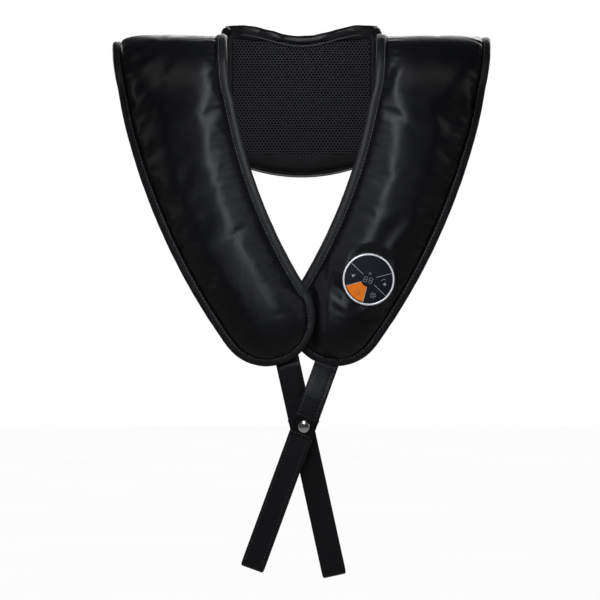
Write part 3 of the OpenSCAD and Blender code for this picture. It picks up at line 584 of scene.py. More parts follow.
def outline(pitch):
    """The pad's whole edge as a closed ring of pattern places, with inward normals and the neck's share."""
    neck, outer = pattern_rows(pitch)
    middle, way = spine(1.0)
    tip = middle + way * TIP_R
    tip = np.array([[tip[0], -reach_of(tip[1])]])
    ring = np.concatenate([neck, tip, outer[::-1]])
    is_neck = np.concatenate([np.ones(len(neck)), [0.5], np.zeros(len(outer))])
    closed = np.concatenate([ring, ring[:1]])
    length = lengths_to(closed)
    count = int(length[-1] / pitch)
    at = np.linspace(0, length[-1], count, endpoint=False)
    is_neck = np.interp(at, length, np.append(is_neck, is_neck[0]))
    ring = np.stack([np.interp(at, length, closed[:, k]) for k in range(2)], 1)
    for _ in range(int(10 / pitch)):
        ring = (np.roll(ring, 1, 0) + 2 * ring + np.roll(ring, -1, 0)) / 4
    way = np.roll(ring, -1, 0) - np.roll(ring, 1, 0)
    way /= np.linalg.norm(way, axis=1)[:, None]
    inward = np.stack([-way[:, 1], way[:, 0]], 1)
    centre = ring.mean(0)
    if ((centre - ring) * inward).sum() < 0:
        inward = -inward
    return ring, inward, is_neck, at


def edge_lift(side, s, is_neck):
    """How far the sewn band rides outside the pad's middle layer: over the shoulder it is pulled up."""
    lift = mix(EDGE_LIFT[side], NECK_LIFT, smooth(is_neck))
    return lift * over_shoulder(s)


def ripple(length, *waves):
    """A smooth irregular wave, from -1 to 1, along a length in millimetres."""
    total = sum(np.sin(2 * np.pi * length / wave + 1.7 * k * k) for k, wave in enumerate(waves))
    return total / len(waves)


# ---- Puffed leather pads ----

CROWN = 17.0
SHOULDER = 36.0                                  # distance over which the puffed cover rises from its seam
FACING_GAP = 0.8


def facing_room(x, s):
    """Half thickness left for the side of a lapel that faces the other one, where the two cross."""
    gap = math.tan(LEAN) * np.maximum(np.abs(s) - ARC - 20, 0)
    return np.maximum(gap - FACING_GAP, 1.0) + 0.85 * np.maximum(np.abs(x) - 14, 0)


def build_pad(side):
    pitch = 3.6
    neck, outer = pattern_rows(pitch, 0, SEAM_SHARE)
    rows = len(neck)
    columns = int(112 / pitch)
    u = np.linspace(0, 1, columns)
    u = u - 0.35 * np.sin(4 * np.pi * u) / (4 * np.pi) * 0.5
    grid = mix(neck[:, None, :], outer[:, None, :], u[None, :, None])
    x, s = grid[..., 0], grid[..., 1]
    width = np.linalg.norm(outer - neck, axis=1)[:, None]
    to_side = np.minimum(u, 1 - u)[None, :] * width
    tip_middle, tip_way = spine(1.0)
    tip_s = -reach_of(tip_middle[1])
    beyond = (x - tip_middle[0]) * tip_way[0] + (s - tip_s) * tip_way[1]
    tip_r = TIP_R - SEAM_SHARE * EDGE_BAND
    to_tip = np.where(beyond > 0, tip_r - np.hypot(x - tip_middle[0], s - tip_s), 999)
    to_hem = np.where(s > 0, s[0, 0] - s, 999)
    edge_distance = np.maximum(np.minimum(np.minimum(to_side, to_tip), to_hem), 0)
    rise = np.sqrt(1 - (1 - np.clip(edge_distance / SHOULDER, 0, 1)) ** 2)
    lift = mix(NECK_LIFT, EDGE_LIFT[side], u)[None, :] * over_shoulder(s)
    front_half = np.where(s > 0, CROWN + 2 * smooth(s / ARC), CROWN + 1.5 * over_shoulder(s))
    back_half = np.full_like(front_half, CROWN)
    if side == "left":
        front_half = np.where(s < 0, np.minimum(front_half, facing_room(x, s)), front_half)
    else:
        back_half = np.where(s < 0, np.minimum(back_half, facing_room(x, s)), back_half)
    outside = place(side, x, s, lift + (front_half - lift) * rise)
    inside = place(side, x, s, lift - (back_half + lift) * rise)
    border = np.zeros((rows, columns), bool)
    border[0] = border[-1] = True
    border[:, 0] = border[:, -1] = True
    outside_index = np.arange(rows * columns).reshape(rows, columns)
    inside_index = outside_index.copy()
    inside_index[~border] = rows * columns + np.arange((~border).sum())
    points = np.concatenate([outside.reshape(-1, 3), inside[~border]])
    faces = []
    for index in (outside_index, inside_index):
        corner = (index[:-1, :-1], index[:-1, 1:], index[1:, 1:], index[1:, :-1])
        faces += np.stack([c.ravel() for c in corner], 1).tolist()
    pad = add_mesh(f"{side}_pad_cover", points, faces, LEATHER)
    marks = {"pattern_x": x, "pattern_s": s, "seam_distance": edge_distance,
             "outside": np.where(border, 0.5, 1.0)}
    for name, value in marks.items():
        inner = np.zeros((~border).sum()) if name == "outside" else value[~border]
        layer = pad.data.attributes.new(name, "FLOAT", "POINT")
        layer.data.foreach_set("value", np.concatenate([value.ravel(), inner]).astype(np.float32))
    inflate(pad, np.concatenate([border.ravel(), np.zeros((~border).sum(), bool)]))
    subdivide(pad, 1)
    finish_pad(side, pad)
    return pad


def inflate(pad, pinned, pressure=3.0, frames=16, cap=4.0):
    """Puffs a cover with the Cloth simulation, its seam pinned, and applies the result."""
    rest = np.zeros(len(pad.data.vertices) * 3)
    pad.data.vertices.foreach_get("co", rest)
    group = pad.vertex_groups.new(name="seam")
    group.add(np.nonzero(pinned)[0].tolist(), 1.0, "REPLACE")
    cloth = pad.modifiers.new("puff", "CLOTH")
    cloth.settings.quality = 4
    cloth.settings.mass = 0.25
    cloth.settings.tension_stiffness = 12
    cloth.settings.compression_stiffness = 12
    cloth.settings.shear_stiffness = 6
    cloth.settings.bending_stiffness = 0.35
    cloth.settings.shrink_min = -0.012
    cloth.settings.use_pressure = True
    cloth.settings.uniform_pressure_force = pressure
    cloth.settings.vertex_group_mass = "seam"
    cloth.settings.effector_weights.gravity = 0
    cloth.point_cache.frame_end = frames
    for number in range(1, frames + 1):
        bpy.context.scene.frame_set(number)
    shaped = pad.evaluated_get(bpy.context.evaluated_depsgraph_get())
    result = np.zeros_like(rest)
    shaped.data.vertices.foreach_get("co", result)
    pad.modifiers.clear()
    move = (result - rest).reshape(-1, 3)
    size = np.linalg.norm(move, axis=1)[:, None]
    limit = cap * MM
    move *= np.where(size > 1e-9, limit * np.tanh(size / limit) / np.maximum(size, 1e-9), 0)
    pad.data.vertices.foreach_set("co", (rest.reshape(-1, 3) + move).ravel())
    pad.data.update()
    bpy.context.scene.frame_set(1)


def apply_modifiers(obj):
    obj.data = bpy.data.meshes.new_from_object(obj.evaluated_get(bpy.context.evaluated_depsgraph_get()))
    obj.modifiers.clear()


def subdivide(obj, levels):
    """Smooths a mesh by subdivision and keeps its marks."""
    modifier = obj.modifiers.new("smooth", "SUBSURF")
    modifier.levels = modifier.render_levels = levels
    apply_modifiers(obj)


def read_marks(obj, *names):
    values = []
    for name in names:
        value = np.zeros(len(obj.data.vertices), np.float32)
        obj.data.attributes[name].data.foreach_get("value", value)
        values.append(value.astype(float))
    return values


# Long soft dents: start and end on the pattern (x, height), half width, depth
DENTS = {
    "right": [((160, 72), (191, 42), 6, 1.7), ((144, 58), (189, -2), 7, 2.1), ((152, 24), (186, -24), 6, 1.8),
              ((126, -78), (150, -114), 7, 1.2), ((104, -132), (132, -168), 8, 1.0),
              ((80, -52), (100, -44), 6, 0.8)],
    "left": [((110, 52), (92, 5), 7, 2.2), ((190, 25), (160, -55), 9, 1.2), ((118, -130), (88, -168), 8, 1.2),
             ((128, -150), (104, -190), 7, 1.0)],
}


def seat_panel(points):
    """Presses the cover in under the control panel and gathers it a little around the ring."""
    x, z = points[:, 0] - PANEL[0], points[:, 2] - PANEL[2]
    radius, front = np.hypot(x, z), points[:, 1] < PANEL_HIGH[1] + 12
    under = FACE_Y + 5
    rim = PANEL_LOW[1] + 1.9 + 0.4 * np.sin(9 * np.arctan2(z, x)) * smooth((radius - RING_R) / 3)
    cap = mix(under, rim, smooth((radius - RING_R + 2.5) / 3.0))
    pressed = np.maximum(points[:, 1], cap)
    seated = mix(pressed, points[:, 1], smooth((radius - RING_R - 1.5) / 11))
    points[:, 1] = np.where(front, seated, points[:, 1])
    return points


def finish_pad(side, pad):
    """Gathers along the seams, soft dents and slow swells, pressed into the finished cover."""
    x, s, distance, outside = read_marks(pad, "pattern_x", "pattern_s", "seam_distance", "outside")
    height = height_of(s)
    normals = np.zeros(len(x) * 3)
    pad.data.vertex_normals.foreach_get("vector", normals)
    near_seam = 0.55 * np.exp(-distance / 8) * (1 - np.exp(-distance / 2)) * 2
    push = near_seam * ripple(s + 0.35 * x, 9.3, 13.7, 21.1)
    push += 0.5 * ripple(s, 61, 97) * ripple(x + 0.4 * s, 45, 71) * (1 - np.exp(-distance / 10))
    for start, end, half, depth in DENTS[side]:
        start, end = np.array(start, float), np.array(end, float)
        line = end - start
        at = np.clip(((x - start[0]) * line[0] + (height - start[1]) * line[1]) / (line @ line), 0, 1)
        bow = 5 * np.sin(np.pi * at)
        away = np.hypot(x - start[0] - at * line[0] + bow, height - start[1] - at * line[1])
        taper = np.sin(np.pi * np.clip(at, 0.04, 0.96)) ** 0.6
        groove = np.exp(-(away / half) ** 2) - 0.35 * np.exp(-((away - 1.8 * half) / half) ** 2)
        push -= depth * taper * groove * (outside > 0.4) * (s < ARC * 0.5)
    push *= np.clip(distance / 3, 0, 1)
    co = np.zeros_like(normals)
    pad.data.vertices.foreach_get("co", co)
    co = co.reshape(-1, 3) + normals.reshape(-1, 3) * push[:, None] * MM
    if side == "left":
        co = seat_panel(co / MM) * MM
    pad.data.vertices.foreach_set("co", co.ravel())
    pad.data.update()
    for name in ("pattern_x", "pattern_s", "seam_distance", "outside"):
        pad.data.attributes.remove(pad.data.attributes[name])


def blend_lapel(obj, side):
    """Bakes a piece's placement into its mesh; the piece is not bent over the shoulder's ridge."""
    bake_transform(obj)


def build_bands(side):
    """The sewn band along the whole edge of a pad, its stitches and the thin cord beside the cover."""
    pitch = 2.6
    ring, inward, is_neck, length = outline(pitch)
    s = ring[:, 1]
    height = height_of(s)
    widening = smooth((height - NECK_BAND_LOW) / NECK_BAND_FADE)
    width = mix(EDGE_BAND, NECK_BAND, widening * smooth(is_neck))
    lift = edge_lift(side, s, is_neck)
    gather = smooth((-185 - height) / 25) * smooth(is_neck) * (1.0 if side == "right" else 0.25)
    pucker = gather * (0.5 + 0.5 * np.sin(2 * np.pi * length / 5.4 + 1.2 * np.sin(length / 9)))
    flutter = 0.25 * ripple(length, 17, 29, 43)
    roundness = smooth(is_neck)
    profile = [(1.06, 0.5), (0.98, 1.9), (0.90, 2.7), (0.80, 2.75), (0.45, 3.1), (0.20, 2.9), (0.07, 2.1),
               (0.0, 0.7), (0.0, -0.7), (0.07, -2.0), (0.25, -2.5), (0.65, -2.4), (0.95, -1.9), (1.06, -0.6)]
    rows = []
    for share, off in profile:
        inset = share * width
        raised = off * (1 + 0.35 * roundness * math.sin(math.pi * min(share, 1)) * (off > 0))
        raised = raised + (off > 1) * (flutter - 0.8 * pucker * math.sin(math.pi * min(share, 1)) ** 0.5)
        inset = inset + 0.5 * flutter * (share < 0.3)
        place_at = ring + inward * inset[:, None]
        rows.append(place(side, place_at[:, 0], place_at[:, 1], lift + raised))
    band = add_tube(f"{side}_edge_band", np.stack(rows, 1), BAND, loop=True)
    blend_lapel(band, side)

    stitch_share = 0.80
    rise = 1 + 0.35 * roundness * math.sin(math.pi * stitch_share)
    for tag, off in (("inner", 2.75 * rise + flutter + 0.22), ("rear", np.full(len(ring), -2.35))):
        at = ring + inward * (stitch_share * width)[:, None]
        path = place(side, at[:, 0], at[:, 1], lift + off)
        above = place(side, at[:, 0], at[:, 1], lift + off + np.sign(off))
        path, above = np.concatenate([path, path[:1]]), np.concatenate([above, above[:1]])
        normal = above - path
        seam = add_stitches(f"{side}_edge_stitches_{tag}", path, normal, length=3.0, gap=1.2, radius=0.3)
        blend_lapel(seam, side)
    at = ring + inward * (1.02 * width)[:, None]
    rows = round_rows(place(side, at[:, 0], at[:, 1], lift + 1.5), 0.75, 6)
    cord = add_tube(f"{side}_seam_cord", rows, HEM, loop=True)
    blend_lapel(cord, side)
    return band


def build_lapels():
    for side in SIDES:
        pad = build_pad(side)
        blend_lapel(pad, side)
        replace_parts(pad, f"{side}_shoulder_pad", f"{side}_lapel_cushion")
        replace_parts(build_bands(side), f"{side}_lapel_binding")


build_lapels()

# ---- Collar ----

COLLAR_W = FOAM_HIGH[0]
NECK_TOP = FOAM_HIGH[2] - 13.0                   # height of the neckline at its lowest point
NECK_RISE = 13.0
FRONT_Y = MESH_LOW[1]
NECK_HALF_W = 74.0
HEAD_BUMPS = ((50, 16), (-50, 16), (27, -18), (-27, -18))


def collar_top(x):
    turn = np.radians(180 * np.asarray(x, float) / NECK_HALF_W)
    return NECK_TOP + NECK_RISE * (1 - np.cos(turn)) / 2


def collar_hem(x):
    return FOAM_LOW[2] + 20 * (np.asarray(x, float) / COLLAR_W) ** 2


def mesh_top(x):
    return NECK_TOP - 6.5 + 3.0 * (np.asarray(x, float) / NECK_HALF_W) ** 2


def mesh_hem(x):
    return FOAM_LOW[2] + 21 + 9 * (np.asarray(x, float) / COLLAR_W) ** 2


def collar_ring(half_w, top, hem, steps=48):
    """A closed outline in X and Z: neckline, side, hem, side."""
    x = np.linspace(-half_w, half_w, steps)
    left = np.linspace(top(half_w), hem(half_w), 24)[1:-1]
    right = np.linspace(hem(-half_w), top(-half_w), 24)[1:-1]
    return np.concatenate([np.stack([x, top(x)], 1), np.stack([np.full(22, half_w), left], 1),
                           np.stack([x[::-1], hem(x[::-1])], 1), np.stack([np.full(22, -half_w), right], 1)])


def belly(x, z):
    """How far the mesh bulges forward, with soft bumps over the heads and a hollow under the neckline."""
    bulge = 3.4 * np.maximum(1 - (x / 84) ** 2, 0) * np.maximum(1 - ((z + 2) / 78) ** 2, 0)
    for head_x, head_z in HEAD_BUMPS:
        bulge += 0.8 * np.exp(-((x - head_x) ** 2 + (z - head_z) ** 2) / 220)
    return bulge - 1.6 * np.exp(-((x / 26) ** 2 + ((z - 70) / 16) ** 2))


def build_mesh_sheet():
    """Spacer mesh: a sheet of staggered round holes, each with its own rounded lip."""
    pitch, row_pitch, hole, lip = 3.8, 2.96, 1.36, 0.2
    squeeze = np.array([1, row_pitch / (pitch * math.sin(math.pi / 3))])
    corner = pitch / math.sqrt(3)
    sides = 12
    angles = np.arange(sides) * 2 * np.pi / sides
    hexagon = [(corner if k % 2 else corner * math.cos(math.pi / 6)) for k in range(sides)]
    rim = np.array([[r * math.cos(a), r * math.sin(a)] for r, a in zip(hexagon, angles)])
    circle = np.stack([np.cos(angles), np.sin(angles)], 1)
    shapes = ((rim, 0.0), (circle * (hole + lip), 0.05), (circle * hole, 0.3), (circle * hole, 1.1))
    points, faces = [], []
    for row in range(60):
        z = FOAM_LOW[2] + 12 + row * row_pitch
        for column in range(-24, 25):
            x = (column + 0.5 * (row % 2)) * pitch
            if abs(x) > COLLAR_W - 3 or not mesh_hem(x) - 2 < z < mesh_top(x) + 2:
                continue
            base = len(points)
            centre = np.array([x, z])
            for shape, depth in shapes:
                flat = centre + shape * squeeze
                y = FRONT_Y - belly(flat[:, 0], flat[:, 1]) + depth
                points.extend(np.stack([flat[:, 0], y, flat[:, 1]], 1))
            for ring in range(3):
                for k in range(sides):
                    a, b = base + ring * sides + k, base + ring * sides + (k + 1) % sides
                    faces.append((a, b, b + sides, a + sides))
    sheet = add_mesh("collar_mesh", points, faces, SPACER)
    weld = bmesh.new()
    weld.from_mesh(sheet.data)
    bmesh.ops.remove_doubles(weld, verts=weld.verts, dist=0.02 * MM)
    weld.to_mesh(sheet.data)
    weld.free()
    fit(sheet, "yoke", "mesh_panel")

    # A lining behind the holes, coloured as painted shade inside them
    x = np.linspace(-COLLAR_W + 2, COLLAR_W - 2, 45)
    t = np.linspace(0, 1, 35)
    grid_x = np.broadcast_to(x, (35, 45))
    grid_z = mix(mesh_hem(x) - 4, mesh_top(x) + 4, t[:, None])
    y = FRONT_Y + 1.6 - belly(grid_x, grid_z)
    rows = np.stack([grid_x, y, grid_z], -1)
    lining = add_mesh("collar_mesh_lining_painted_shade", rows, sheet_faces(35, 45), LINING_PAINTED_SHADE)
    thicken(lining, 0.6)
    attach(lining, "yoke")


def thicken(obj, thickness, side=-1):
    """Gives a sheet its thickness: side is -1 behind its face and 1 in front."""
    modifier = obj.modifiers.new("thick", "SOLIDIFY")
    modifier.thickness = thickness * MM
    modifier.offset = side
    apply_modifiers(obj)


def build_collar():
    build_mesh_sheet()
    outer = collar_ring(COLLAR_W, collar_top, collar_hem)
    inner = collar_ring(COLLAR_W - 9, mesh_top, mesh_hem)
    count = len(outer)
    rows = []
    for share, depth in ((0, 4.0), (0.02, 1.2), (0.10, -0.9), (0.35, -1.8), (0.6, -1.5), (0.85, -1.0),
                         (1.0, -0.3), (1.03, 0.8)):
        flat = mix(outer, inner, share)
        y = FRONT_Y + depth - min(share, 1) * belly(flat[:, 0], flat[:, 1])
        y = y + 0.4 * ripple(np.arange(count) * 3.5, 23, 37) * math.sin(math.pi * min(share, 1))
        rows.append(np.stack([flat[:, 0], y, flat[:, 1]], 1))
    rows.append(rows[0] + [0, 3.0, 0])
    frame_band = add_tube("collar_front_frame", np.stack(rows, 1), HEM, loop=True)
    fit(frame_band, "yoke", "yoke_binding")

    depths = np.array([0, 0.04, 0.15, 0.35, 0.6, 0.85, 0.96, 1.0])
    centre = np.array([0, 5.0])
    rows = []
    for share in depths:
        puff = 1.8 * math.sin(math.pi * share) ** 0.6 - 1.0
        away = outer - centre
        grown = outer + away / np.linalg.norm(away, axis=1)[:, None] * puff
        grown[:, 0] = np.clip(grown[:, 0], -COLLAR_W, COLLAR_W)
        y = np.full(count, mix(FRONT_Y + 3, -1.2, share)) + 0.5 * ripple(np.arange(count) * 3.5, 31, 47)
        rows.append(np.stack([grown[:, 0], y, grown[:, 1]], 1))
    faces = sheet_faces(len(depths), count, ring=True)
    wall = add_mesh("collar_wall", np.stack(rows, 0), faces, LEATHER)
    thicken(wall, 1.0)
    fit(wall, "yoke", "back_cushion")

    x = np.linspace(-COLLAR_W + 1.5, COLLAR_W - 1.5, 90)
    swell = 1 + 0.10 * ripple(x, 19, 31, 53)
    roll = np.stack([x, np.full_like(x, FRONT_Y + 3.2) + 0.4 * ripple(x, 27, 41), collar_top(x) - 4.2], 1)
    roll_rows = round_rows(roll, 5.0 * swell * (1 - 0.5 * (np.abs(x) / 88) ** 8), 14)
    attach(add_tube("neckline_roll", roll_rows, LEATHER), "yoke")
    arc = x[8:-8]
    seam = np.stack([arc, FRONT_Y - 2.3 - belly(arc, collar_top(arc) - 11), collar_top(arc) - 11.4], 1)
    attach(add_round("neckline_piping", seam, 0.75, PIPING, 8), "yoke")
    fold = np.stack([x, np.full_like(x, FRONT_Y - 1.0), collar_hem(x) + 8.5], 1)
    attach(add_round("hem_fold", fold, 1.5, HEM, 10), "yoke")
    hem = np.stack([x, np.full_like(x, FRONT_Y + 1.0), collar_hem(x) + 1.6], 1)
    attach(add_round("hem_piping", hem, 2.2, HEM, 12), "yoke")
    edge = collar_ring(COLLAR_W - 1.6, lambda at: collar_top(at) - 1.4, lambda at: collar_hem(at) + 1.4)
    edge = np.stack([edge[:, 0], np.full(count, -2.4), edge[:, 1]], 1)
    piping_rows = round_rows(np.concatenate([edge, edge[:1]]), 2.0, 12)[:-1]
    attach(add_tube("rear_piping", piping_rows, BAND, loop=True), "yoke")
    for side, sign in SIDES.items():
        corner_z = collar_top(84)
        lump = along([(sign * 84, FRONT_Y + 4, corner_z - 6), (sign * 86.5, FRONT_Y - 8, corner_z - 8),
                      (sign * 89, FRONT_Y - 20, corner_z - 15)], 1.5)
        radius = 5.5 * np.sin(np.linspace(0.35, 2.75, len(lump))) ** 0.5
        gusset = add_round(f"{side}_neck_gusset", lump, radius, LEATHER, 14, (0, 0, 1.0))
        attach(gusset, "yoke")
    build_back()


def build_back():
    """The flat rear: a centre panel with two stitched seams."""
    x = np.linspace(-COLLAR_W, COLLAR_W, 61)
    t = np.linspace(0, 1, 57)
    grid_x = np.broadcast_to(x, (57, 61))
    grid_z = mix(collar_hem(x) + 1.0, collar_top(x) - 1.5, t[:, None])
    edge = np.minimum(np.minimum(COLLAR_W - np.abs(grid_x), grid_z - collar_hem(x)), collar_top(x) - grid_z)
    y = -0.15 - 2.6 * np.exp(-np.maximum(edge, 0) / 8.0)
    for seam_x in (-52, 52):
        y = y - 0.7 * np.exp(-((grid_x - seam_x) / 1.6) ** 2)
    y = y - 0.22 * (1 + ripple(grid_z + 0.3 * grid_x, 29, 47)) * (1 + ripple(grid_x, 37, 53)) / 2
    points = np.stack([grid_x, y, grid_z], -1)
    panel = add_mesh("back_panel", points, sheet_faces(57, 61), LEATHER)
    thicken(panel, 1.2, 1 if panel.data.polygons[0].normal.y < 0 else -1)
    fit(panel, "yoke", "back_cover")
    z = np.linspace(FOAM_LOW[2] + 10, NECK_TOP - 3, 60)
    for tag, seam_x in (("a", -54.4), ("b", -49.6), ("c", 49.6), ("d", 54.4)):
        path = np.stack([np.full_like(z, seam_x), np.full_like(z, -0.25), z], 1)
        sew(f"back_stitches_{tag}", path, (0, 1.0, 0), "yoke")
    for tag, line in (("hem", collar_hem(x[2:-2]) + 6.5), ("neckline", collar_top(x[2:-2]) - 7.0)):
        path = np.stack([x[2:-2], np.full(57, -0.3), line], 1)
        sew(f"back_stitches_{tag}", path, (0, 1.0, 0), "yoke")
    build_jack_grommet()


def build_jack_grommet():
    """The rubber ring that lines the hole in the hem for the power socket."""
    low, high = box_mm("dc_jack")
    middle, radius = (low + high) / 2, max(high[0] - low[0], high[1] - low[1]) / 2
    hem_z = float(collar_hem(middle[0]))
    section = [(0.35, 2.0), (0.35, -0.5), (0.9, -1.0), (2.0, -0.9), (2.9, -0.1), (2.9, 1.0), (1.6, 2.2)]
    rows = [[(middle[0] + (radius + r) * math.cos(a), middle[1] + (radius + r) * math.sin(a), hem_z + z)
             for r, z in section] for a in np.linspace(0, 2 * np.pi, 64, endpoint=False)]
    rubber = moulded("grommet_rubber", (0.012, 0.012, 0.013), 0.6)
    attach(add_tube("jack_grommet", rows, rubber, loop=True), "yoke")


build_collar()

# ---- Hand straps ----

STRAP_W = 27.0
ROOT_Y, RUN_Y, TAIL_Y = 5.5, -5.5, -11.1          # depths of the root, the run and the folded tail
SWAY = 44.0                                      # length over which a strap moves from root to run
SNAP_AT = 71.0                                   # distance of the snap from the root
TAB_TOP, TAB_LEN = 12.0, 23.0                    # the tab's rise above the snap, and its length
STRAP_SEAMS = (("a", -STRAP_W / 2 + 2.9), ("b", STRAP_W / 2 - 4.6))


def strap_frame(side):
    """Places points given across, in depth and down a strap. The right one is the left one, front to back."""
    swing = JOINTS[f"{side}_strap_swing"]
    fold = JOINTS[f"{side}_loop_open"]
    root = np.array(swing["pos_m"]) * 1000
    end = np.array(fold["pos_m"]) * 1000
    across = -SIDES[side] * np.array(swing["axis"], float)
    across /= np.linalg.norm(across)
    down = np.array([across[2], 0, -across[0]])
    length = np.hypot(*(end - root)[[0, 2]])
    middle_y = root[1] - SIDES[side] * ROOT_Y

    def locate(x, depth, at):
        x, depth, at = np.broadcast_arrays(np.asarray(x, float), depth, at)
        point = root + x[..., None] * across + at[..., None] * down
        point[..., 1] = middle_y + SIDES[side] * depth
        return point

    return locate, length


def strap_depth(at):
    return mix(ROOT_Y, RUN_Y, smooth(at / SWAY))


def strap_profile():
    """Across and thickness of a strap's rounded section with a groove under each row of stitches."""
    half = STRAP_W / 2
    across = np.array([-half, -half + 0.5, -half + 2.2, -half + 2.9, -half + 3.6, -6, 0, 5, half - 5.4,
                       half - 4.6, half - 3.8, half - 2, half - 0.5, half])
    front = np.array([0.2, 0.85, 1.15, 0.8, 1.2, 1.28, 1.32, 1.28, 1.2, 0.8, 1.15, 1.15, 0.85, 0.2])
    back = np.array([0.2, 0.9, 1.1, 1.1, 1.1, 1.1, 1.1, 1.1, 1.1, 1.1, 1.1, 1.1, 0.9, 0.2])
    return np.concatenate([across, across[::-1]]), np.concatenate([-front, back[::-1]])


def build_strap(side):
    locate, length = strap_frame(side)
    across, thick = strap_profile()
    turn_r = (RUN_Y - TAIL_Y) / 2
    turn_at = length - turn_r - 0.6

    at = np.concatenate([np.linspace(-17, -1, 17), np.linspace(0, 60, 45), np.linspace(61, turn_at - 8, 60)])
    depth = strap_depth(np.maximum(at, 0)) + SIDES[side] * 4.2 * smooth(-at / 9)
    crease = sum(0.55 * np.exp(-((at - where) / 2.4) ** 2) for where in (13, 27, 41, 118, 176))
    depth = depth + 0.3 * ripple(at, 37, 61) * smooth(at / 20) + 0.6 * crease
    skew = 0.25 * crease
    rows = [locate(across * (1 - 0.008 * c), d + thick, a + k * across / 13.5)
            for a, d, c, k in zip(at, depth, crease, skew)]
    base = add_tube(f"{side}_hand_strap_base", rows, STRAP)
    start, end = locate(0, 0, -3.0), locate(0, 0, 16.0)
    start[1] = end[1] = locate(0, ROOT_Y, 0)[1]
    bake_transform(base)
    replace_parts(base, f"{side}_strap")
    ends = np.linspace(-STRAP_W / 2 + 1.5, STRAP_W / 2 - 1.5, 12)
    front = locate(0, -1, 0) - locate(0, 0, 0)
    for tag, a in (("upper", -15.5), ("lower", -10.5)):
        behind = ROOT_Y + SIDES[side] * (4.2 + 1.15)
        sew(f"{side}_root_stitches_{tag}", locate(ends, behind, a), (0, 1, 0), f"{side}_lapel")
    for tag, x in STRAP_SEAMS:
        keep = at > 3
        path = locate(x, depth[keep] - 0.95, at[keep])
        lines = add_stitches(f"{side}_base_stitches_{tag}", path, front)
        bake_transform(lines)

    down = np.linspace(turn_at - 9, turn_at, 5)
    angle = np.linspace(0, np.pi, 13)[1:-1]
    up = np.linspace(turn_at, SNAP_AT - TAB_TOP, 90)
    middle = (RUN_Y + TAIL_Y) / 2
    at = np.concatenate([down, turn_at + turn_r * np.sin(angle), up])
    depth = np.concatenate([np.full(5, RUN_Y), middle + turn_r * np.cos(angle), np.full(90, TAIL_Y)])
    heading = np.concatenate([np.zeros(5), angle, np.full(90, np.pi)])
    loose = smooth((turn_at - at) / 30) * smooth((at - SNAP_AT - 14) / 20) * (np.arange(len(at)) > 15)
    depth = depth - 1.1 * loose * (0.5 + 0.5 * ripple(at, 83, 131)) + 0.25 * ripple(at, 23, 41) * loose
    corner = 1 - 0.06 * np.exp(-(turn_at + turn_r - at) / 1.5)
    rows = []
    for a, d, h, c in zip(at, depth, heading, corner):
        rows.append(locate(across * c, d + thick * math.cos(h), a + thick * math.sin(h)))
    tail = add_tube(f"{side}_hand_strap_tail", rows, STRAP)
    fold_start, fold_end = locate(0, RUN_Y - 1.3, length), locate(0, TAIL_Y + 1.3, length)
    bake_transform(tail)
    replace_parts(tail, f"{side}_strap_tail")
    keep = (np.arange(len(at)) > 17) & (at > SNAP_AT + TAB_LEN - TAB_TOP)
    for tag, x in STRAP_SEAMS:
        path = locate(x, depth[keep] - 0.95, at[keep])
        sew(f"{side}_tail_stitches_{tag}", path, front, f"{side}_hand_loop")

    tab_at = np.linspace(SNAP_AT - TAB_TOP - 0.6, SNAP_AT - TAB_TOP + TAB_LEN, 24)
    tab_rows = []
    for k, a in enumerate(tab_at):
        wide = 1.035 - 0.03 * smooth(k / 6) + 0.012 * math.exp(-((k - 1) / 1.4) ** 2)
        end = 1 - 0.9 * (k in (0, len(tab_at) - 1))
        depth_at = TAIL_Y - 1.35 - 0.28 * end - 0.35 * math.exp(-((k - 1.5) / 1.2) ** 2)
        body = np.where(thick < 0, thick * 0.22 * end, 0.35)
        tab_rows.append(locate(across * wide, depth_at + body, a))
    # Painted shade: the tab, the tail's end, takes the darker pad leather instead of the strap's, for the shade of
    # the pressed snap area
    tab = add_tube(f"{side}_snap_tab", tab_rows, LEATHER)
    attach(tab, f"{side}_hand_loop")
    for tag, a in (("top", tab_at[2]), ("low", tab_at[-3])):
        path = locate(ends, TAIL_Y - 1.95, a)
        sew(f"{side}_tab_stitches_{tag}", path, front, f"{side}_hand_loop")


for name in SIDES:
    build_strap(name)

# ---- Control panel ----

HUB_R = 8.2
# Angles of the lines between the sectors, counterclockwise from the right, in degrees
SECTOR_LINES = (-44, 15, 136, 195, 256)


def flat_shape(name, outlines, body, material, height=0.12, sink=0.05):
    """Thin raised graphics on the panel's face: each outline is a ring of (x, z) around its centre."""
    points, faces = [], []
    for ring in outlines:
        ring = np.asarray(ring, float)
        base, count = len(points), len(ring)
        for depth in (-height, sink):
            points.extend((PANEL[0] + x, FACE_Y + depth, PANEL[2] + z) for x, z in ring)
        faces.append(tuple(base + k for k in range(count)))
        faces.append(tuple(base + count + k for k in reversed(range(count))))
        faces += [(base + k, base + (k + 1) % count, base + count + (k + 1) % count, base + count + k)
                  for k in range(count)]
    piece = add_mesh(name, points, faces, material, flat=True)
    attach(piece, body)
    return piece


def turned(points, angle, move=(0, 0)):
    c, s = math.cos(angle), math.sin(angle)
    return [(move[0] + c * x - s * z, move[1] + s * x + c * z) for x, z in points]


def bar(start, end, width):
    """A straight stroke between two points."""
    start, end = np.array(start, float), np.array(end, float)
    way = (end - start) / np.linalg.norm(end - start)
    side = np.array([-way[1], way[0]]) * width / 2
    return [start + side, start - side, end - side, end + side]


def arc_strokes(centre, radius, width, start, end, steps=16):
    """A stroke along an arc as a row of quads, angles in degrees."""
    angles = np.radians(np.linspace(start, end, steps + 1))
    rings = []
    for a, b in zip(angles[:-1], angles[1:]):
        rings.append([(centre[0] + r * math.cos(t), centre[1] + r * math.sin(t))
                      for r, t in ((radius - width / 2, a), (radius + width / 2, a), (radius + width / 2, b),
                                   (radius - width / 2, b))])
    return rings


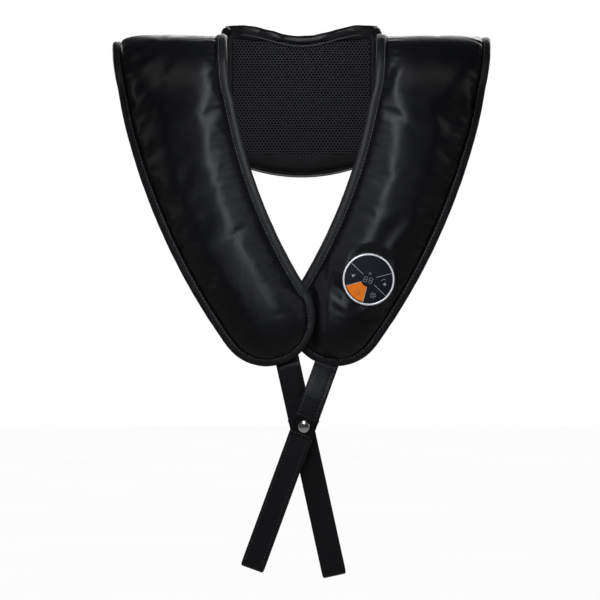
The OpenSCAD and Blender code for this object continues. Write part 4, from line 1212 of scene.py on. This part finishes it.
def digit(centre):
    """The seven segments of an 8, leaning with the panel."""
    w, h, t = 3.5, 3.0, 0.62
    segments = []
    for x0, z0, x1, z1 in ((-w / 2, h, w / 2, h), (-w / 2, 0, w / 2, 0), (-w / 2, -h, w / 2, -h),
                           (-w / 2, 0, -w / 2, h), (w / 2, 0, w / 2, h), (-w / 2, -h, -w / 2, 0),
                           (w / 2, -h, w / 2, 0)):
        a, b = np.array([x0, z0]), np.array([x1, z1])
        way = (b - a) / np.linalg.norm(b - a)
        side = np.array([-way[1], way[0]]) * t / 2
        a, b = a + way * 0.22, b - way * 0.22
        slope = way * t / 2
        ring = [a, a + slope + side, b - slope + side, b, b - slope - side, a + slope - side]
        segments.append(turned([(p[0] + 0.08 * p[1], p[1]) for p in ring], PANEL_TURN, centre))
    return segments


def turned_rows(angles, section):
    """A section of (radius, y) points turned around the panel's centre."""
    return [[(PANEL[0] + r * math.cos(a), y, PANEL[2] + r * math.sin(a)) for r, y in section] for a in angles]


def build_panel():
    print_grey = glossy("panel_print", (0.42, 0.44, 0.48), 0.45)
    digit_grey = glossy("display_segments", (0.20, 0.21, 0.235), 0.4)
    dark_print = glossy("power_print", (0.33, 0.13, 0.03), 0.45)
    # Painted reflection: the polished ring gets a near-white, barely metallic base colour in place of the bright
    # reflection it shows
    ring_painted_reflection, nodes, links, shader, place_at = material_nodes("bright_ring", (0.93, 0.93, 0.97), 0.24, 0.15)
    wear = noise(nodes, links, place_at, 300, 3)
    links.new(spread(nodes, links, wear, 0.18, 0.32), shader.inputs["Roughness"])
    add_bump(nodes, links, shader, [(noise(nodes, links, place_at, 900, 2), 0.05, 0.0001)])

    section = [(RING_R - 2.0, 0.9), (RING_R - 2.0, -0.1), (RING_R - 1.7, -0.55), (RING_R - 1.0, -0.75),
               (RING_R - 0.35, -0.55), (RING_R, 0.0), (RING_R, 2.2), (RING_R - 1.9, 2.2)]
    angles = np.linspace(0, 2 * np.pi, 128, endpoint=False)
    rows = turned_rows(angles, [(r, PANEL_LOW[1] + y + 0.5) for r, y in section])
    ring = add_tube("panel_ring", rows, ring_painted_reflection, loop=True)
    fit(ring, "left_lapel", "panel_bezel")
    section = [(0.2, 1.2), (1.5, 1.6), (2.6, 3.2), (2.2, 5.5), (-0.4, 5.5)]
    skirt = turned_rows(angles, [(RING_R + r, PANEL_LOW[1] + y) for r, y in section])
    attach(add_tube("panel_skirt", skirt, LEATHER, loop=True), "left_lapel")

    lines = []
    for angle in SECTOR_LINES:
        way = np.array([math.cos(math.radians(angle)), math.sin(math.radians(angle))])
        lines.append(bar(way * (HUB_R + 0.3), way * (RING_R - 2.2), 0.46))
    flat_shape("panel_lines", lines, "left_lapel", print_grey, 0.16, 0.9)
    digits = digit((-3.6, 0.2)) + digit((2.3, -1.4))
    flat_shape("display_digits", digits, "left_lapel", digit_grey)
    lamp = [bar(a, b, 0.35) for a, b in (((-0.9, -0.8), (-0.9, 1.0)), ((-0.9, 1.0), (0.9, 1.0)),
                                         ((0.9, 1.0), (0.9, -0.8)), ((0.3, 0.2), (0.9, 0.2)))]
    lamp = [turned(shape, PANEL_TURN, (1.6, 6.3)) for shape in lamp]
    flat_shape("display_lamp", lamp, "left_lapel", print_grey)

    arrow = [(-1.9, 1.2), (1.9, 1.2), (0.0, -1.9)]
    down_at = (-17.4, 4.3)
    down = [turned(shape, PANEL_TURN, down_at) for shape in (arrow, bar((1.2, 1.9), (2.6, 1.9), 0.35))]
    flat_shape("down_arrow", down, "down_button", print_grey)
    up = [turned(arrow, PANEL_TURN + math.pi, (17.9, -5.2))]
    up += arc_strokes((17.2, -3.6), 3.6, 0.4, 60, 150, 8)
    flat_shape("up_arrow", up, "up_button", print_grey)
    power = arc_strokes((-12.7, -13.8), 2.7, 0.55, -235, 55, 24) + [bar((-12.3, -10.2), (-12.6, -13.6), 0.55)]
    flat_shape("power_mark", power, "power_button", dark_print)
    heat = []
    for k in range(6):
        heat += arc_strokes((4.7, -17.8), 2.9, 0.42, 60 * k + 8 + 15, 60 * k + 40 + 15, 4)
        heat += [turned(bar((-0.15, 2.2), (0.3, 1.0), 0.35), math.radians(60 * k + 15), (4.7, -17.8))]
    flat_shape("heat_mark", heat, "heat_button", print_grey)


build_panel()

# ---- Finishes of the CAD parts that stay ----

def finish_cad_parts():
    finishes = {
        "pu_leather": LEATHER,
        "foam": woven("open_cell_foam", (0.48, 0.46, 0.38), (0.58, 0.56, 0.48), 1.1, 0.9),
        "spacer_mesh": SPACER,
        "pale_moulding": moulded("pale_moulding", (0.62, 0.62, 0.60), 0.42),
        "black_plastic": moulded("black_plastic", (0.016, 0.016, 0.018), 0.42),
        "steel": metal("machined_steel", (0.56, 0.57, 0.60), 0.28),
        "brass": metal("brass", (0.80, 0.60, 0.25), 0.25),
        "ivory_nylon": moulded("ivory_nylon", (0.72, 0.68, 0.55), 0.38),
        "head_shell": moulded("head_shell", (0.50, 0.34, 0.20), 0.45),
        "circuit_board": moulded("circuit_board", (0.02, 0.13, 0.06), 0.35, 2600, 0.2),
        "lamp_red": glossy("lamp_red", (0.40, 0.02, 0.02), 0.15, 0.8),
        "cable_rubber": moulded("cable_rubber", (0.012, 0.012, 0.013), 0.55),
        "bright_ring": metal("bright_trim", (0.74, 0.74, 0.80), 0.24),
        "panel_navy": glossy("panel_navy", (0.0022, 0.0046, 0.0090), 0.42, 0.0, 0.18),
        "power_orange": glossy("power_orange", (0.98, 0.205, 0.004), 0.45, 0.0, 0.2),
        "nickel": metal("nickel_plate", (0.72, 0.71, 0.69), 0.16, (1, 1, 1)),
    }
    slots = {part["node"]: part["material_slot"] for part in frame["record"]["subparts"]}
    for name, node in frame["nodes"].items():
        node.data.materials.clear()
        node.data.materials.append(finishes[slots[name]])


finish_cad_parts()


def spare_collar_from_strip():
    """Keeps the near front strip's light off the collar's flat top, which it would glare on from behind."""
    spared = bpy.data.collections.new("unlit_by_front_strip")
    spared.objects.link(bpy.data.objects["collar_wall"])
    bpy.data.objects["front_strip"].light_linking.receiver_collection = spared
    spared.collection_objects[0].light_linking.link_state = "EXCLUDE"


spare_collar_from_strip()

boxes = {"cad": CAD_BOX, "visual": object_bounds()}
{name: [list(corner) for corner in box] for name, box in boxes.items()}
